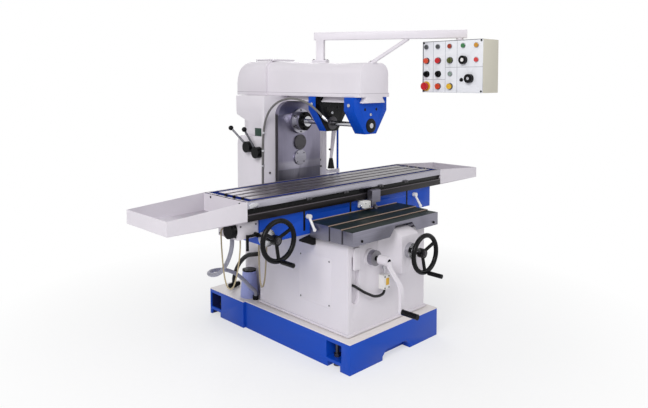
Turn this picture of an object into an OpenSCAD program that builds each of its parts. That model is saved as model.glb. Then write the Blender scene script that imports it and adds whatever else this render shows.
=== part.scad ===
// Horizontal knee-type milling machine with overarm, long table and pendant control box.
// Millimetres. X runs right along the table, Y runs back to the column, Z is up.
// The origin is the centre of the base's anchor holes at floor level.

/* [Base] */
// Width of the base across the machine
base_w = 820; // [760:5:900]
// Depth of the base, front to back
base_d = 1345; // [1300:5:1500]
// Height of the base
base_h = 180; // [160:5:220]
// Wall of the base casting
base_wall = 30; // [20:1:40]
// Step outwards of the base's rear half on each side
base_step = 18; // [8:1:28]
// Distance of that step from the base's front
base_step_from = 957; // [900:1:1050]

/* [Column] */
// Distance from the base's front to the slideway's face
slideway_from = 867; // [860:1:890]
// Width of the slideway
slideway_w = 390; // [360:2:420]
// How far the slideway stands out of the front frame
slideway_t = 31; // [25:1:40]
// Width of the front frame and of the head
column_w = 578; // [560:2:620]
// Width of the column behind the frame
column_body_w = 530; // [510:2:546]
// Depth of the column behind the frame's face
column_d = 260; // [240:2:290]
// Wall of the column casting
column_wall = 30; // [20:1:40]
// Height of the head's top above the floor
head_top = 1543; // [1530:1:1580]
// Height of the head's upright sides
head_h = 103; // [80:1:120]
// Height of the spindle's axis above the floor
spindle_z = 1368; // [1350:1:1380]

/* [Knee] */
// Width of the knee
knee_w = 710; // [690:2:730]
// Distance of the knee's front wall from the base's front
knee_from = 66; // [50:1:80]
// Height of the knee casting
knee_h = 539; // [520:1:560]
// Wall of the knee casting
knee_wall = 35; // [25:1:45]

/* [Saddle and table] */
// Length of the saddle
saddle_l = 1550; // [1400:10:1650]
// Depth of the saddle, front to back
saddle_w = 390; // [370:2:400]
// Height of the saddle
saddle_h = 144; // [130:1:150]
// Length of the table
table_l = 1750; // [1690:10:1900]
// Width of the table
table_w = 410; // [390:2:430]
// Thickness of the table
table_t = 110; // [100:1:130]
// Width of a T-slot's neck
tslot_w = 18; // [14:1:22]
// Spacing of the T-slots
tslot_pitch = 80; // [70:1:90]
// Length of a coolant tray
tray_l = 480; // [400:5:560]
// Sheet thickness of the trays
tray_t = 3; // [2:0.5:5]

/* [Overarm and arbor] */
// Width of the overarm
arm_w = 260; // [240:2:280]
// Height of the overarm
arm_h = 210; // [190:2:230]
// Length of the overarm
arm_l = 1200; // [1100:10:1300]
// Distance of the overarm's front from the base's front
arm_from = 185; // [160:1:220]
// Diameter of the arbor
arbor_d = 32; // [25:1:40]
// Width of an arbor support
support_w = 300; // [280:2:320]
// Thickness of an arbor support
support_t = 85; // [60:1:100]

/* [Handwheels and crank] */
// Outer diameter of the handwheels
wheel_d = 246; // [220:2:260]
// Thickness of a handwheel's rim
wheel_rim_d = 28; // [22:1:32]
// Length of the elevating crank's arm
crank_l = 265; // [230:1:270]

/* [Boom and pendant] */
// Side of the boom's square tube
boom_side = 50; // [40:1:60]
// Height of the boom's centre line above the overarm
boom_rise = 184; // [150:1:220]
// Width of the pendant box
pendant_w = 442; // [400:2:480]
// Height of the pendant box
pendant_h = 324; // [300:2:350]
// Depth of the pendant box
pendant_d = 175; // [140:1:200]
// Radius of the small push buttons and selectors
button_r = 17; // [13:0.5:19]

/* [Hidden] */

// Shared clearances and the overrun of cuts
over = 1;
slip = 0.3;
run = 0.05;
$fn = 64;

// Base: places and details
base_front = -base_d / 2;
base_rear = base_d / 2;
base_left = -base_w / 2;
base_top_t = 30;
base_floor_t = 20;
foot_w = 160;
foot_d = 140;
window_w = 120;
window_low = 52;
window_high = 150;
window_deep = 105;
notch_w = 100;
notch_h = 32;
front_window_in = 126.5;
rear_window_in = 72.5;
front_screw_in = 150.5;
rear_screw_in = 46.5;
anchor_in = 100.5;
front_window_y = base_front + front_window_in;
rear_window_y = base_rear - rear_window_in;
front_screw_y = base_front + front_screw_in;
rear_screw_y = base_rear - rear_screw_in;
screw_inset = 55;
screw_r = 12;
screw_pad_r = 22;
screw_pad_h = 10;
screw_top = 132;
screw_nut_r = 21;
screw_nut_h = 18;
anchor_y = base_rear - anchor_in;
anchor_r = 11;
toe_w = 256;
toe_h = 56;
toe_chamfer = 33;
toe_deep = 60;
nut_post_r = 62;
nut_post_h = 200;

// Knee: places and details
knee_gap = 6;
knee_low = base_h + knee_gap;
knee_top = knee_low + knee_h;
knee_front = base_front + knee_from;
slideway_y = base_front + slideway_from;
frame_y = slideway_y + slideway_t;
knee_rear = slideway_y - slip;
knee_lip = 12;
knee_lip_h = 14;
knee_cheek_w = 55;
way_h = 20;
way_w = 90;
way_inset = 55;
recess_w = 62;
recess_deep = 26.5;
recess_low = 395;
recess_high = 640;
recess_from_edge = 30;
housing_x = 85;
housing_w = 165;
housing_reach = 91.5;
housing_low = 493;
housing_eave = 714;
housing_top = 760;
housing_roof = 46;
housing_flank = 115;
housing_flank_low = 640;
housing_flank_bend = 62;
housing_flank_mid = 590;
housing_flank_eave = 690;
housing_left_in = 18;
housing_left_eave = 704;
housing_top_left = -28;
housing_top_right = 130;
housing_scoop_r = 105;
housing_scoop_in = 20;
housing_scoop_out = 18;

// Elevating screw in the knee
lift_from = 472.5;
lift_y = base_front + lift_from;
lift_r = 25;
lift_low = 26;
lift_collar_r = 45;
lift_collar_h = 20;
lift_bevel_r = 50;
lift_bevel_h = 28;
lift_journal_r = 20;
lift_journal_h = 22;

// Saddle: places and details
saddle_low = knee_top + way_h + slip;
saddle_top = saddle_low + saddle_h;
saddle_from = 330;
saddle_front = base_front + saddle_from;
saddle_rear = saddle_front + saddle_w;
saddle_step = 34;
saddle_step_h = 46;
rail_w = 240;
rail_h = 24;
table_reach = 400;
rail_end_gap = 5;
rail_l = table_l - 2 * (table_reach + rail_end_gap);
nut_lug_w = 60;
nut_lug_from = 602.5;
nut_lug_y = base_front + nut_lug_from;
nut_lug_d = 60;
nut_lug_drop = 34;
cross_out = 170;
cross_in = 120;

// Cross feed
cross_z = 623;
cross_r = 16;
cross_screw_from = 792.5;
cross_screw_end = base_front + cross_screw_from;
cross_flange_r = 34;
cross_flange_t = 10;
wheel_hub_r = 28;
wheel_hub_l = 36;
wheel_shaft_r = 16;
wheel_stand = 76;
wheel_dish = 22;
wheel_dial_r = 48;
wheel_dial_t = 28;
wheel_spoke_r = 10;
wheel_spokes = 3;
grip_r = 13;
grip_l = 106;
grip_neck = 12;

// Elevating crank
crank_x = -175;
crank_z = 617;
crank_boss_r = 50;
crank_boss_t = 20;
crank_dial_r = 45;
crank_dial_t = 34;
crank_shaft_r = 15;
crank_stand = 141;
crank_hub_r = 27;
crank_hub_l = 60;
crank_arm_t = 18;
crank_arm_w = 26;
crank_dish = 98;
crank_grip_r = 16;
crank_shaft_in = 80;

// Telescopic way cover
cover_w = 790;
cover_t = 5;
cover_low = 2;
cover_h = 79;
apron_out = 10;
apron_front = base_front - apron_out;
apron_d = 155;
cover_d = 170;
cover_rear_d = 160;
cover_lap = 72;
arch_foot = 52;
arch_top = 786;

// Table
table_low = saddle_top + slip;
table_top = table_low + table_t;
table_over = 19;
table_front = saddle_front - table_over;
table_mid = table_front + table_w / 2;
table_rear = table_front + table_w;
tslot_deep = 38;
tslot_head_w = 32;
tslot_head_h = 14;
gutter_w = 34;
gutter_deep = 14;
gutter_in = 16;
end_gutter_w = 46;
trough_h = 26;
trough_deep = 12;
trough_drop = 40;
channel_h = 26;
table_screw_r = 18;
table_screw_drop = 46;
table_screw_z = saddle_top - table_screw_drop;
table_screw_l = 1480;
table_nut_w = 70;

// Trays
tray_end_h = 74;
tray_rise = 4.4;
tray_lip = 4;

// Feed gearbox on the saddle's left end
feed_w = 140;
feed_d = 180;
feed_in = 15;
feed_front = saddle_front + feed_in;
feed_rise = 46;
feed_low = saddle_low + feed_rise;
feed_gap = 8;
feed_top = saddle_top - feed_gap;
feed_knob_r = 41;
feed_knob_l = 36;
feed_knob_pin = 9;
feed_knob_back = 42;
feed_lever_r = 8;
feed_lever_l = 62;
feed_lever_hub = 13;
feed_lever_drop = 78;
feed_lever_in = 24;
feed_lever_low = 16;

// Table handwheel on the saddle's front
table_wheel_in = 35;
table_wheel_x = -saddle_l / 2 + table_wheel_in;
table_wheel_rise = 38;
table_wheel_z = saddle_low + table_wheel_rise;
table_wheel_stand = 74;
table_wheel_shaft_in = 60;

// Clamp levers on the saddle
clamp_left_x = -424;
clamp_right_x = 583;
clamp_rise = 106;
clamp_z = saddle_low + clamp_rise;
clamp_hub_r = 14;
clamp_hub_l = 26;
clamp_pin_r = 7;
clamp_pin_l = 22;
clamp_lean = 34;
clamp_l = 86;
clamp_r = 8;
clamp_ball_r = 11;

// Table trip switch
trip_x = 115;
trip_w = 80;
trip_d = 40;
trip_h = 78;
trip_gap = 5;
trip_low = 30;
trip_foot_h = 50;
trip_roller_r = 14;

// Knee limit switch
limit_x = -65;
limit_z = 450;
limit_w = 52;
limit_d = 42;
limit_h = 84;
limit_arm_r = 4;
limit_arm_l = 42;
limit_roller_r = 14;
limit_roller_t = 10;

// Column details
column_low = base_h;
body_rear = frame_y + column_d;
frame_t = 30;
edge_in = 15;
edge_d = 45;
rear_taper_d = 115;
rear_taper = 95;
head_out = 115;
head_rear = body_rear + head_out;
head_slant = 180;
head_cut_d = 64;
head_cut_w = 129;
head_slope_h = 83;
column_floor_t = 40;
cavity_low = base_h + column_floor_t;
cavity_gap = 8;
slideway_round = 90;
slideway_drop = 43;
slideway_top = head_top - slideway_drop;
dove_h = 35;
dove_low_w = 198;
dove_top_w = 152;
lug_out = 64;
lug_x = column_w / 2 + lug_out;
lug_drop = 68;
lug_z = spindle_z - lug_drop;
lug_r = 18;
lug_t = 16;
lug_front = 11;
lug_y = frame_y - lug_front;
lamp_pin_r = 6;

// Spindle and drive
nose_r = 64;
nose_out = 56;
nose_l = 60;
spindle_r = 45;
bearing_r = 75;
bearing_w = 34;
bearing_in = 14;
rear_bearing_r = 68;
rear_bearing_w = 20;
shaft_end = 2;
nose_key_w = 24;
nose_key_out = 12;
nose_key_h = 22;
cap_r = 84;
cap_t = 12;
plate_r = 52;
plate_t = 8;
plate_drops = [146, 252];
gear_module = 4;
gear_teeth = 48;
pinion_teeth = 32;
gear_w = 34;
gear_back = 62;
gear_y = frame_y + gear_back;
gear_backlash = 1;
gear_r = gear_module * gear_teeth / 2;
cavity_high = spindle_z + spindle_r + cavity_gap;
gear_room = gear_r + gear_module + cavity_gap;
inner_rear = body_rear + rear_taper_d - column_wall;
motor_r = 92;
motor_l = 190;
motor_shaft_r = 14;
motor_flange_r = 110;
motor_flange_t = 14;
motor_z = spindle_z - gear_module * (gear_teeth + pinion_teeth) / 2;

// Gearbox cover and speed levers
gearbox_low = 620;
gearbox_high = 1270;
gearbox_gap = 2;
gearbox_rear = 40;
gearbox_round = 60;
lever_hub_r = 38;
lever_hub_l = 41;
lever_pin_r = 10;
lever_pin_l = 20;
lever_rod_r = 7;
lever_rod_l = 176;
lever_ball_r = 17;
lever_lean = 22;
high_lever_from = 152;
high_lever_y = frame_y + high_lever_from;
high_lever_z = 1196;
high_lever_tilt = -39;
low_lever_from = 54;
low_lever_y = frame_y + low_lever_from;
low_lever_z = 1165;
low_lever_tilt = -18;

// Pump, tee and coolant fittings
pump_x = -330;
pump_from = 1017.5;
pump_y = base_front + pump_from;
pump_r = 45;
pump_h = 143;
pump_foot_r = 60;
pump_foot_h = 34;
pump_cap_r = 47;
pump_cap_h = 9;
tee_x = -298;
tee_from = 1236.5;
tee_y = base_front + tee_from;
tee_r = 16;
tee_h = 36;
tee_arm = 42;
drain_socket_r = 20;
valve_r = 10.5;
valve_h = 46;
nozzle_r = 10;
nozzle_tip_r = 5;
nozzle_l = 46;

// Lamp
lamp_arm_w = 36;
lamp_arm_t = 12;
lamp_arm_l = 200;
lamp_lean = 30;
lamp_knuckle_r = 16;
lamp_knuckle_h = 22;
lamp_head_r = 26;
lamp_head_top_r = 13;
lamp_head_h = 75;

// Overarm, cover and supports
arm_front = base_front + arm_from;
arm_low = head_top + slip;
arm_top = arm_low + arm_h;
arm_lip = 10;
arm_lip_h = 26;
arm_round = 70;
arm_rear_round = 170;
arm_wall = 24;
arm_rise_from = 244;
arm_tilt = 2.7;
rise_y = arm_front + arm_rise_from;
arm_tail_from = 870;
arm_tail_y = arm_front + arm_tail_from;
arm_tail_out = 20;
arm_tail_rise = 36;
tail_top = arm_top + arm_tail_rise;
arm_cover_w = 190;
arm_cover_from = 843;
arm_cover_l = 205;
arm_cover_h = 8;
arm_cover_step = 47;
arm_cover_step_h = 12;
support_drop = 52;
support_low = spindle_z - support_drop;
support_side = 83;
support_foot_w = 104;
support_bore_r = arbor_d / 2 + run;
bush_r = 44;
bush_out = 5;
outer_from = 30;
inner_from = 365;
inner_support_t = 68;
arbor_end = 8;
arbor_collar_r = 35;
arbor_collar_l = 26;
arbor_sleeve_r = 23;
arbor_sleeve_l = 60;

// Boom and pendant
post_from = 660;
post_y = base_front + post_from;
post_flange = 96;
post_flange_t = 12;
post_pad_z = arm_top + ceil((post_y + post_flange - rise_y) * tan(arm_tilt));
boom_x = 482;
boom_out = 102;
boom_y = base_front - boom_out;
boom_tail = 40;
boom_nose = 45;
brace_from = 16;
brace_y = arm_front + brace_from;
brace_share = 0.64;
brace_r = 12;
brace_foot_r = 26;
brace_foot_t = 8;
neck_r = 22;
neck_gap = 18;
neck_pin_r = 12;
neck_pin_l = 40;
pendant_wall = 4;
pendant_x = boom_x - pendant_d / 2;
boom_z = arm_top + boom_rise;
pendant_top = boom_z - boom_side / 2 - neck_gap;
button_stem_r = 6;
button_stem_l = 14;
button_t = 9;
button_gap = 5;
bezel_t = 5;
bezel_w = 3.5;
selector_t = 12;
selector_bar_w = 8;
selector_bar_h = 8;
knob_r = 26;
knob_t = 22;
dial_r = 27;
dial_t = 26;
stop_r = 24;
stop_t = 20;
stop_ring_r = 31;
lamp_lens_t = 10;

// Places of the controls on the panel, as shares across and down
start_shares = [0.08, 0.38];
stop_shares = [0.28, 0.38];
mode_shares = [0.48, 0.38];
speed_shares = [0.70, 0.38];
feed_shares = [0.08, 0.64];
coolant_shares = [0.28, 0.64];
dial_shares = [0.80, 0.73];
estop_shares = [0.07, 0.88];
drive_shares = [0.28, 0.88];
jog_shares = [0.48, 0.88];
lamp_shares = [[0.07, 0.11], [0.27, 0.11], [0.47, 0.11], [0.69, 0.11], [0.90, 0.11], [0.90, 0.38],
  [0.48, 0.64]];

// Radii of hoses, lines and cables, and the points that they follow, with Y counted from the base's front
function from_front(points) = [for (p = points) [p[0], p[1] + base_front, p[2]]];
coolant_hose_r = 7;
coolant_hose_points = from_front([[-300, 904.5, 955], [-300, 904.5, 1000], [-300, 903.5, 1080],
  [-300, 902.5, 1160], [-300, 900.5, 1250], [-297, 892.5, 1330], [-290, 878.5, 1394],
  [-280, 846.5, 1455], [-265, 789.5, 1503], [-245, 715.5, 1528], [-225, 641.5, 1526],
  [-205, 560.5, 1500], [-188, 499.5, 1458], [-176, 458.5, 1422]]);
drain_hose_r = 12;
drain_hose_points = from_front([[-890, 432.5, 791], [-890, 432.5, 750], [-889, 452.5, 690],
  [-882, 507.5, 615], [-870, 587.5, 552], [-852, 682.5, 516], [-822, 762.5, 500], [-775, 812.5, 492],
  [-715, 837.5, 482], [-650, 853.5, 466], [-580, 877.5, 434], [-510, 900.5, 390], [-445, 918.5, 334],
  [-390, 930.5, 278], [-352, 934.5, 246], [-340, 934.5, 226], [-340, 934.5, 205]]);
pump_hose_r = 15;
pump_hose_points = from_front([[-298, 1236.5, 216], [-298, 1236.5, 245], [-302, 1212.5, 300],
  [-308, 1167.5, 360], [-312, 1112.5, 412], [-312, 1057.5, 448], [-306, 1007.5, 463], [-298, 980.5, 469],
  [-285, 972.5, 470], [-265, 972.5, 470]]);
oil_line_r = 4;
oil_line_points = from_front([[-915, 480.5, 838], [-921, 480.5, 838], [-926, 480.5, 830],
  [-928, 480.5, 818], [-928, 479.5, 780], [-926, 477.5, 720], [-922, 473.5, 640], [-915, 466.5, 560],
  [-905, 455.5, 512], [-896, 440.5, 502], [-889, 422.5, 520], [-884, 400.5, 580], [-881, 382.5, 660],
  [-880, 372.5, 730], [-880, 370.5, 770], [-880, 370.5, 791]]);
oil_loop_r = 5;
oil_loop_points = from_front([[-572, 602.5, 745], [-572, 602.5, 700], [-570, 604.5, 620],
  [-565, 608.5, 530], [-554, 615.5, 440], [-540, 622.5, 396], [-523, 630.5, 378], [-505, 638.5, 396],
  [-490, 644.5, 450], [-479, 649.5, 540], [-472, 651.5, 630], [-470, 652.5, 700], [-470, 652.5, 745]]);
switch_cable_r = 8;
switch_cable_points = from_front([[-65, 44.5, 408], [-65, 44.5, 396], [-74, 41.5, 384], [-98, 36.5, 378],
  [-135, 32.5, 380], [-175, 31.5, 390], [-215, 34.5, 410], [-250, 42.5, 430], [-276, 56.5, 450],
  [-290, 72.5, 463], [-294, 82.5, 466], [-294, 92.5, 466]]);

// A box between two limits along each axis
module slab(x, y, z) {
  translate([x[0], y[0], z[0]])
    cube([x[1] - x[0], y[1] - y[0], z[1] - z[0]]);
}

// A round bar along X between two limits
module bar_x(r, x) {
  translate([x[0], 0, 0])
    rotate([0, 90, 0])
      cylinder(r = r, h = x[1] - x[0]);
}

// A round bar along Y between two limits
module bar_y(r, y) {
  translate([0, y[1], 0])
    rotate([90, 0, 0])
      cylinder(r = r, h = y[1] - y[0]);
}

// A round bar along Z between two limits
module bar_z(r, z) {
  translate([0, 0, z[0]])
    cylinder(r = r, h = z[1] - z[0]);
}

// An outline in the XZ plane carried along Y between two limits
module along_y(y) {
  translate([0, y[1], 0])
    rotate([90, 0, 0])
      linear_extrude(y[1] - y[0])
        children();
}

// An outline in the YZ plane carried along X between two limits
module along_x(x) {
  translate([x[0], 0, 0])
    rotate([90, 0, 90])
      linear_extrude(x[1] - x[0])
        children();
}

// A copy mirrored to the other side of the YZ plane
module both_sides() {
  children();
  mirror([1, 0, 0])
    children();
}

// A bar with square ends between two points
module strut(a, b, r) {
  d = b - a;
  l = norm(d);
  translate(a)
    rotate([0, acos(d[2] / l), atan2(d[1], d[0])])
      cylinder(r = r, h = l, $fn = 32);
}

// A tube of flat sides swept along a list of points
tube_sides = 8;
function unit(v) = v / norm(v);
function heading(p, i) = unit(p[min(i + 1, len(p) - 1)] - p[max(i - 1, 0)]);
function side_axis(t) = unit(cross(t, abs(t[2]) > 0.9 ? [0, 1, 0] : [0, 0, 1]));
function carried(s, t) = unit(s - t * (s * t));
function sides_along(p) = [for (i = 0, s = side_axis(heading(p, 0)); i < len(p);
  i = i + 1, s = i < len(p) ? carried(s, heading(p, i)) : s) s];
module hose(p, r) {
  side = sides_along(p);
  rings = [for (i = [0 : len(p) - 1]) for (k = [0 : tube_sides - 1])
    let (t = heading(p, i), a = 360 * k / tube_sides)
    p[i] + r * (cos(a) * side[i] + sin(a) * cross(t, side[i]))];
  walls = [for (i = [0 : len(p) - 2]) for (k = [0 : tube_sides - 1])
    let (m = (k + 1) % tube_sides, a = i * tube_sides, b = a + tube_sides)
    each [[a + k, b + m, a + m], [a + k, b + k, b + m]]];
  last = (len(p) - 1) * tube_sides;
  caps = [[for (k = [0 : tube_sides - 1]) k], [for (k = [tube_sides - 1 : -1 : 0]) last + k]];
  polyhedron(rings, concat(walls, caps));
}

// Flanks and tips of straight-sided gear teeth
addendum_share = 0.8;
dedendum_share = 1.0;
tip_share = 0.17;
root_share = 0.37;
module gear_outline(teeth, turn) {
  pitch_r = gear_module * teeth / 2;
  step = 360 / teeth;
  slack = gear_backlash / pitch_r * 180 / PI / 2;
  tip = pitch_r + addendum_share * gear_module;
  root = pitch_r - dedendum_share * gear_module;
  polygon([for (i = [0 : teeth - 1])
    each [for (f = [[root, -root_share], [tip, -tip_share], [tip, tip_share], [root, root_share]])
      let (a = turn + step * (i + f[1]) - sign(f[1]) * slack)
      [f[0] * cos(a), f[0] * sin(a)]]]);
}

// Plan outline of the base with its stepped rear half
module base_plan() {
  half = base_w / 2;
  polygon([[-half, base_front], [half, base_front], [half, base_front + base_step_from],
    [half + base_step, base_front + base_step_from], [half + base_step, base_rear],
    [-half - base_step, base_rear], [-half - base_step, base_front + base_step_from],
    [-half, base_front + base_step_from]]);
}

// One corner of the base: a block behind its side window
module foot_block(y) {
  inner = base_w / 2 - over;
  slab([inner - foot_w, inner], [y - foot_d / 2, y + foot_d / 2],
    [base_floor_t - over, base_h - base_top_t + over]);
}

// Window, floor notch, screw hole and anchor hole of one corner
module foot_cuts(y, screw_y, hole_y) {
  half = base_w / 2;
  slab([half - window_deep, half + base_step + over], [y - window_w / 2, y + window_w / 2],
    [window_low, window_high]);
  slab([half - window_deep, half + base_step + over], [y - notch_w / 2, y + notch_w / 2],
    [-over, notch_h]);
  translate([half - screw_inset, screw_y, 0])
    bar_z(screw_r + run, [-over, window_low + over]);
  translate([half - screw_inset, hole_y, 0])
    bar_z(anchor_r, [-over, window_low + over]);
}

module base() {
  half = base_w / 2;
  post = base_h + nut_post_h;
  color("royalblue")
    difference() {
      union() {
        difference() {
          linear_extrude(base_h)
            base_plan();
          slab([-half + base_wall, half - base_wall],
            [base_front + base_wall, base_rear - base_wall], [base_floor_t, base_h - base_top_t]);
        }
        both_sides() {
          foot_block(front_window_y);
          foot_block(rear_window_y);
        }
        translate([0, lift_y, 0])
          bar_z(nut_post_r, [base_h - base_top_t, post]);
        slab([-toe_w / 2 - base_wall, toe_w / 2 + base_wall],
          [base_front + over, base_front + toe_deep + base_wall], [base_floor_t - over, toe_h + base_wall]);
      }
      both_sides() {
        foot_cuts(front_window_y, front_screw_y, -anchor_y);
        foot_cuts(rear_window_y, rear_screw_y, anchor_y);
      }
      translate([0, lift_y, 0])
        bar_z(lift_r + run, [base_floor_t + over, post + over]);
      along_y([base_front - over, base_front + toe_deep])
        polygon([[-toe_w / 2, -over], [-toe_w / 2, toe_h - toe_chamfer], [-toe_w / 2 + toe_chamfer, toe_h],
          [toe_w / 2 - toe_chamfer, toe_h], [toe_w / 2, toe_h - toe_chamfer], [toe_w / 2, -over]]);
    }
}

// Screw, pad and lock nut at one corner
module levelling_screw(y) {
  translate([base_w / 2 - screw_inset, y, 0]) {
    bar_z(screw_r, [0, screw_top]);
    bar_z(screw_pad_r, [0, screw_pad_h]);
    translate([0, 0, window_low])
      cylinder(r = screw_nut_r, h = screw_nut_h, $fn = 6);
  }
}

module levelling_screws() {
  color("silver")
    both_sides() {
      levelling_screw(front_screw_y);
      levelling_screw(rear_screw_y);
    }
}

// Plan of the column behind the frame, drawn in by a wall, with a tapered back
module column_plan(wall) {
  side = column_body_w / 2 - wall;
  edge = side - edge_in;
  back = side - rear_taper;
  rear = body_rear + rear_taper_d - wall;
  front = frame_y + (wall > 0 ? frame_t : 0);
  polygon([[-side, front], [side, front], [side, body_rear - edge_d], [edge, body_rear - wall / 2],
    [back, rear], [-back, rear], [-edge, body_rear - wall / 2], [-side, body_rear - edge_d]]);
}

// Head of the column: upright sides over an inward slope, its rear corners cut off
module head_block() {
  half = column_w / 2;
  low = head_top - head_h;
  foot = low - head_slope_h;
  intersection() {
    along_y([frame_y, head_rear])
      polygon([[-column_body_w / 2, foot], [column_body_w / 2, foot], [half, low], [half, head_top],
        [-half, head_top], [-half, low]]);
    along_x([-half, half])
      polygon([[frame_y, foot], [head_rear - head_slant, foot], [head_rear, low], [head_rear, head_top],
        [frame_y, head_top]]);
    translate([0, 0, foot])
      linear_extrude(head_top - foot)
        polygon([[-half, frame_y], [half, frame_y], [half, head_rear - head_cut_d],
          [half - head_cut_w, head_rear], [-half + head_cut_w, head_rear], [-half, head_rear - head_cut_d]]);
  }
}

// Cross-section of the overarm's dovetail, grown by a clearance
module dovetail(grow) {
  polygon([[-dove_top_w / 2 - grow, head_top + over], [-dove_top_w / 2 - grow, head_top],
    [-dove_low_w / 2 - grow, head_top - dove_h - grow], [dove_low_w / 2 + grow, head_top - dove_h - grow],
    [dove_top_w / 2 + grow, head_top], [dove_top_w / 2 + grow, head_top + over]]);
}

// Front outline of the slideway with rounded top corners
module slideway_outline() {
  half = slideway_w / 2;
  translate([-half, column_low])
    square([slideway_w, slideway_top - slideway_round - column_low]);
  translate([-half + slideway_round, column_low])
    square([slideway_w - 2 * slideway_round, slideway_top - column_low]);
  for (s = [-1, 1])
    translate([s * (half - slideway_round), slideway_top - slideway_round])
      circle(r = slideway_round);
}

module column() {
  half = column_w / 2;
  color("ghostwhite")
    difference() {
      union() {
        slab([-half, half], [frame_y, frame_y + frame_t], [column_low, head_top - head_h]);
        translate([0, 0, column_low])
          linear_extrude(head_top - head_h - column_low)
            column_plan(0);
        head_block();
        along_y([slideway_y, frame_y + over])
          slideway_outline();
        slab([half - over, lug_x], [lug_y - lug_r, lug_y + lug_r], [lug_z, lug_z + lug_t]);
        translate([lug_x, lug_y, 0])
          bar_z(lug_r, [lug_z, lug_z + lug_t]);
        slab([half - over, lug_x], [lug_y, frame_y + frame_t], [lug_z, lug_z + lug_t]);
      }
      translate([0, 0, cavity_low])
        linear_extrude(cavity_high - cavity_low)
          column_plan(column_wall);
      slab([-gear_room, gear_room], [frame_y + frame_t, gear_y + gear_w + cavity_gap],
        [cavity_high - over, spindle_z + gear_room]);
      along_y([slideway_y - over, head_rear + over])
        dovetail(slip);
      translate([0, 0, spindle_z]) {
        bar_y(nose_r + slip, [slideway_y - over, frame_y]);
        bar_y(bearing_r, [slideway_y + bearing_in, frame_y + frame_t + over]);
        bar_y(rear_bearing_r, [inner_rear - over, inner_rear + rear_bearing_w]);
      }
      translate([lug_x, lug_y, 0])
        bar_z(lamp_pin_r + run, [lug_z - over, lug_z + lug_t + over]);
    }
}

// Plate box over the speed gears on the column's left side, with two lever sockets
module gearbox_cover() {
  outer = -column_w / 2;
  inner = -column_body_w / 2;
  front = frame_y + frame_t + gearbox_gap;
  rear = body_rear + gearbox_rear;
  flat = rear - front - gearbox_round;
  color("whitesmoke")
    difference() {
      along_x([outer, inner]) {
        translate([front, gearbox_low])
          square([rear - front, gearbox_high - gearbox_round - gearbox_low]);
        translate([front, gearbox_low])
          square([flat, gearbox_high - gearbox_low]);
        translate([rear - gearbox_round, gearbox_high - gearbox_round])
          circle(r = gearbox_round);
      }
      for (p = [[high_lever_y, high_lever_z], [low_lever_y, low_lever_z]])
        translate([0, p[0], p[1]])
          bar_x(lever_pin_r + run, [outer - over, outer + lever_pin_l]);
    }
}

// Hub, leaning rod and ball of a speed lever at its own pivot
module speed_lever(y, z, tilt) {
  face = -column_w / 2 - slip;
  translate([0, y, z]) {
    color("black") {
      bar_x(lever_hub_r, [face - lever_hub_l, face]);
      bar_x(lever_pin_r, [face - over, face + lever_pin_l - over]);
    }
    rotate([tilt, 0, 0])
      translate([face - lever_hub_l / 2, 0, 0])
        rotate([0, -lever_lean, 0]) {
          color("silver")
            bar_z(lever_rod_r, [0, lever_rod_l]);
          color("black")
            translate([0, 0, lever_rod_l])
              sphere(r = lever_ball_r);
        }
  }
}

module speed_lever_high() {
  speed_lever(high_lever_y, high_lever_z, high_lever_tilt);
}

module speed_lever_low() {
  speed_lever(low_lever_y, low_lever_z, low_lever_tilt);
}

module main_motor() {
  back = inner_rear;
  color("slategray")
    translate([0, 0, motor_z]) {
      difference() {
        union() {
          bar_y(motor_r, [back - motor_l, back]);
          bar_y(motor_flange_r, [back - motor_flange_t, back]);
        }
        bar_y(motor_shaft_r + run, [back - motor_l - over, back - motor_flange_t]);
      }
    }
}

module motor_pinion() {
  back = inner_rear;
  color("darkgray")
    translate([0, 0, motor_z]) {
      bar_y(motor_shaft_r, [gear_y - over, back - motor_flange_t - slip]);
      along_y([gear_y, gear_y + gear_w])
        gear_outline(pinion_teeth, 90 + 180 / pinion_teeth);
    }
}

// Ring bearings at the two ends of the spindle
module spindle_bearings() {
  rear = inner_rear;
  color("lightsteelblue")
    translate([0, 0, spindle_z]) {
      difference() {
        bar_y(bearing_r, [slideway_y + bearing_in, slideway_y + bearing_in + bearing_w]);
        bar_y(spindle_r + run, [slideway_y, slideway_y + bearing_in + bearing_w + over]);
      }
      difference() {
        bar_y(rear_bearing_r, [rear, rear + rear_bearing_w]);
        bar_y(spindle_r + run, [rear - over, rear + rear_bearing_w + over]);
      }
    }
}

// Front bearing ring and two round plates on the slideway
module bearing_caps() {
  color("dimgray")
    difference() {
      translate([0, 0, spindle_z])
        bar_y(cap_r, [slideway_y - cap_t, slideway_y]);
      translate([0, 0, spindle_z])
        bar_y(nose_r + slip, [slideway_y - cap_t - over, slideway_y + over]);
    }
  color("gainsboro")
    for (d = plate_drops)
      translate([0, 0, spindle_z - d])
        bar_y(plate_r, [slideway_y - plate_t, slideway_y]);
}

// Spindle with its nose, drive keys and bull gear
module spindle() {
  rear = inner_rear + rear_bearing_w;
  nose = slideway_y - nose_out;
  color("silver")
    translate([0, 0, spindle_z])
      difference() {
        union() {
          bar_y(nose_r, [nose, nose + nose_l]);
          bar_y(spindle_r, [nose + nose_l - over, rear - shaft_end]);
          along_y([gear_y, gear_y + gear_w])
            gear_outline(gear_teeth, 90);
          for (s = [-1, 1])
            slab([-nose_key_w / 2, nose_key_w / 2], [nose - nose_key_out, nose + over],
              s > 0 ? [nose_r - nose_key_h, nose_r - over] : [-nose_r + over, -nose_r + nose_key_h]);
        }
        bar_y(arbor_sleeve_r + run, [nose - over, nose + arbor_sleeve_l]);
      }
}

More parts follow.
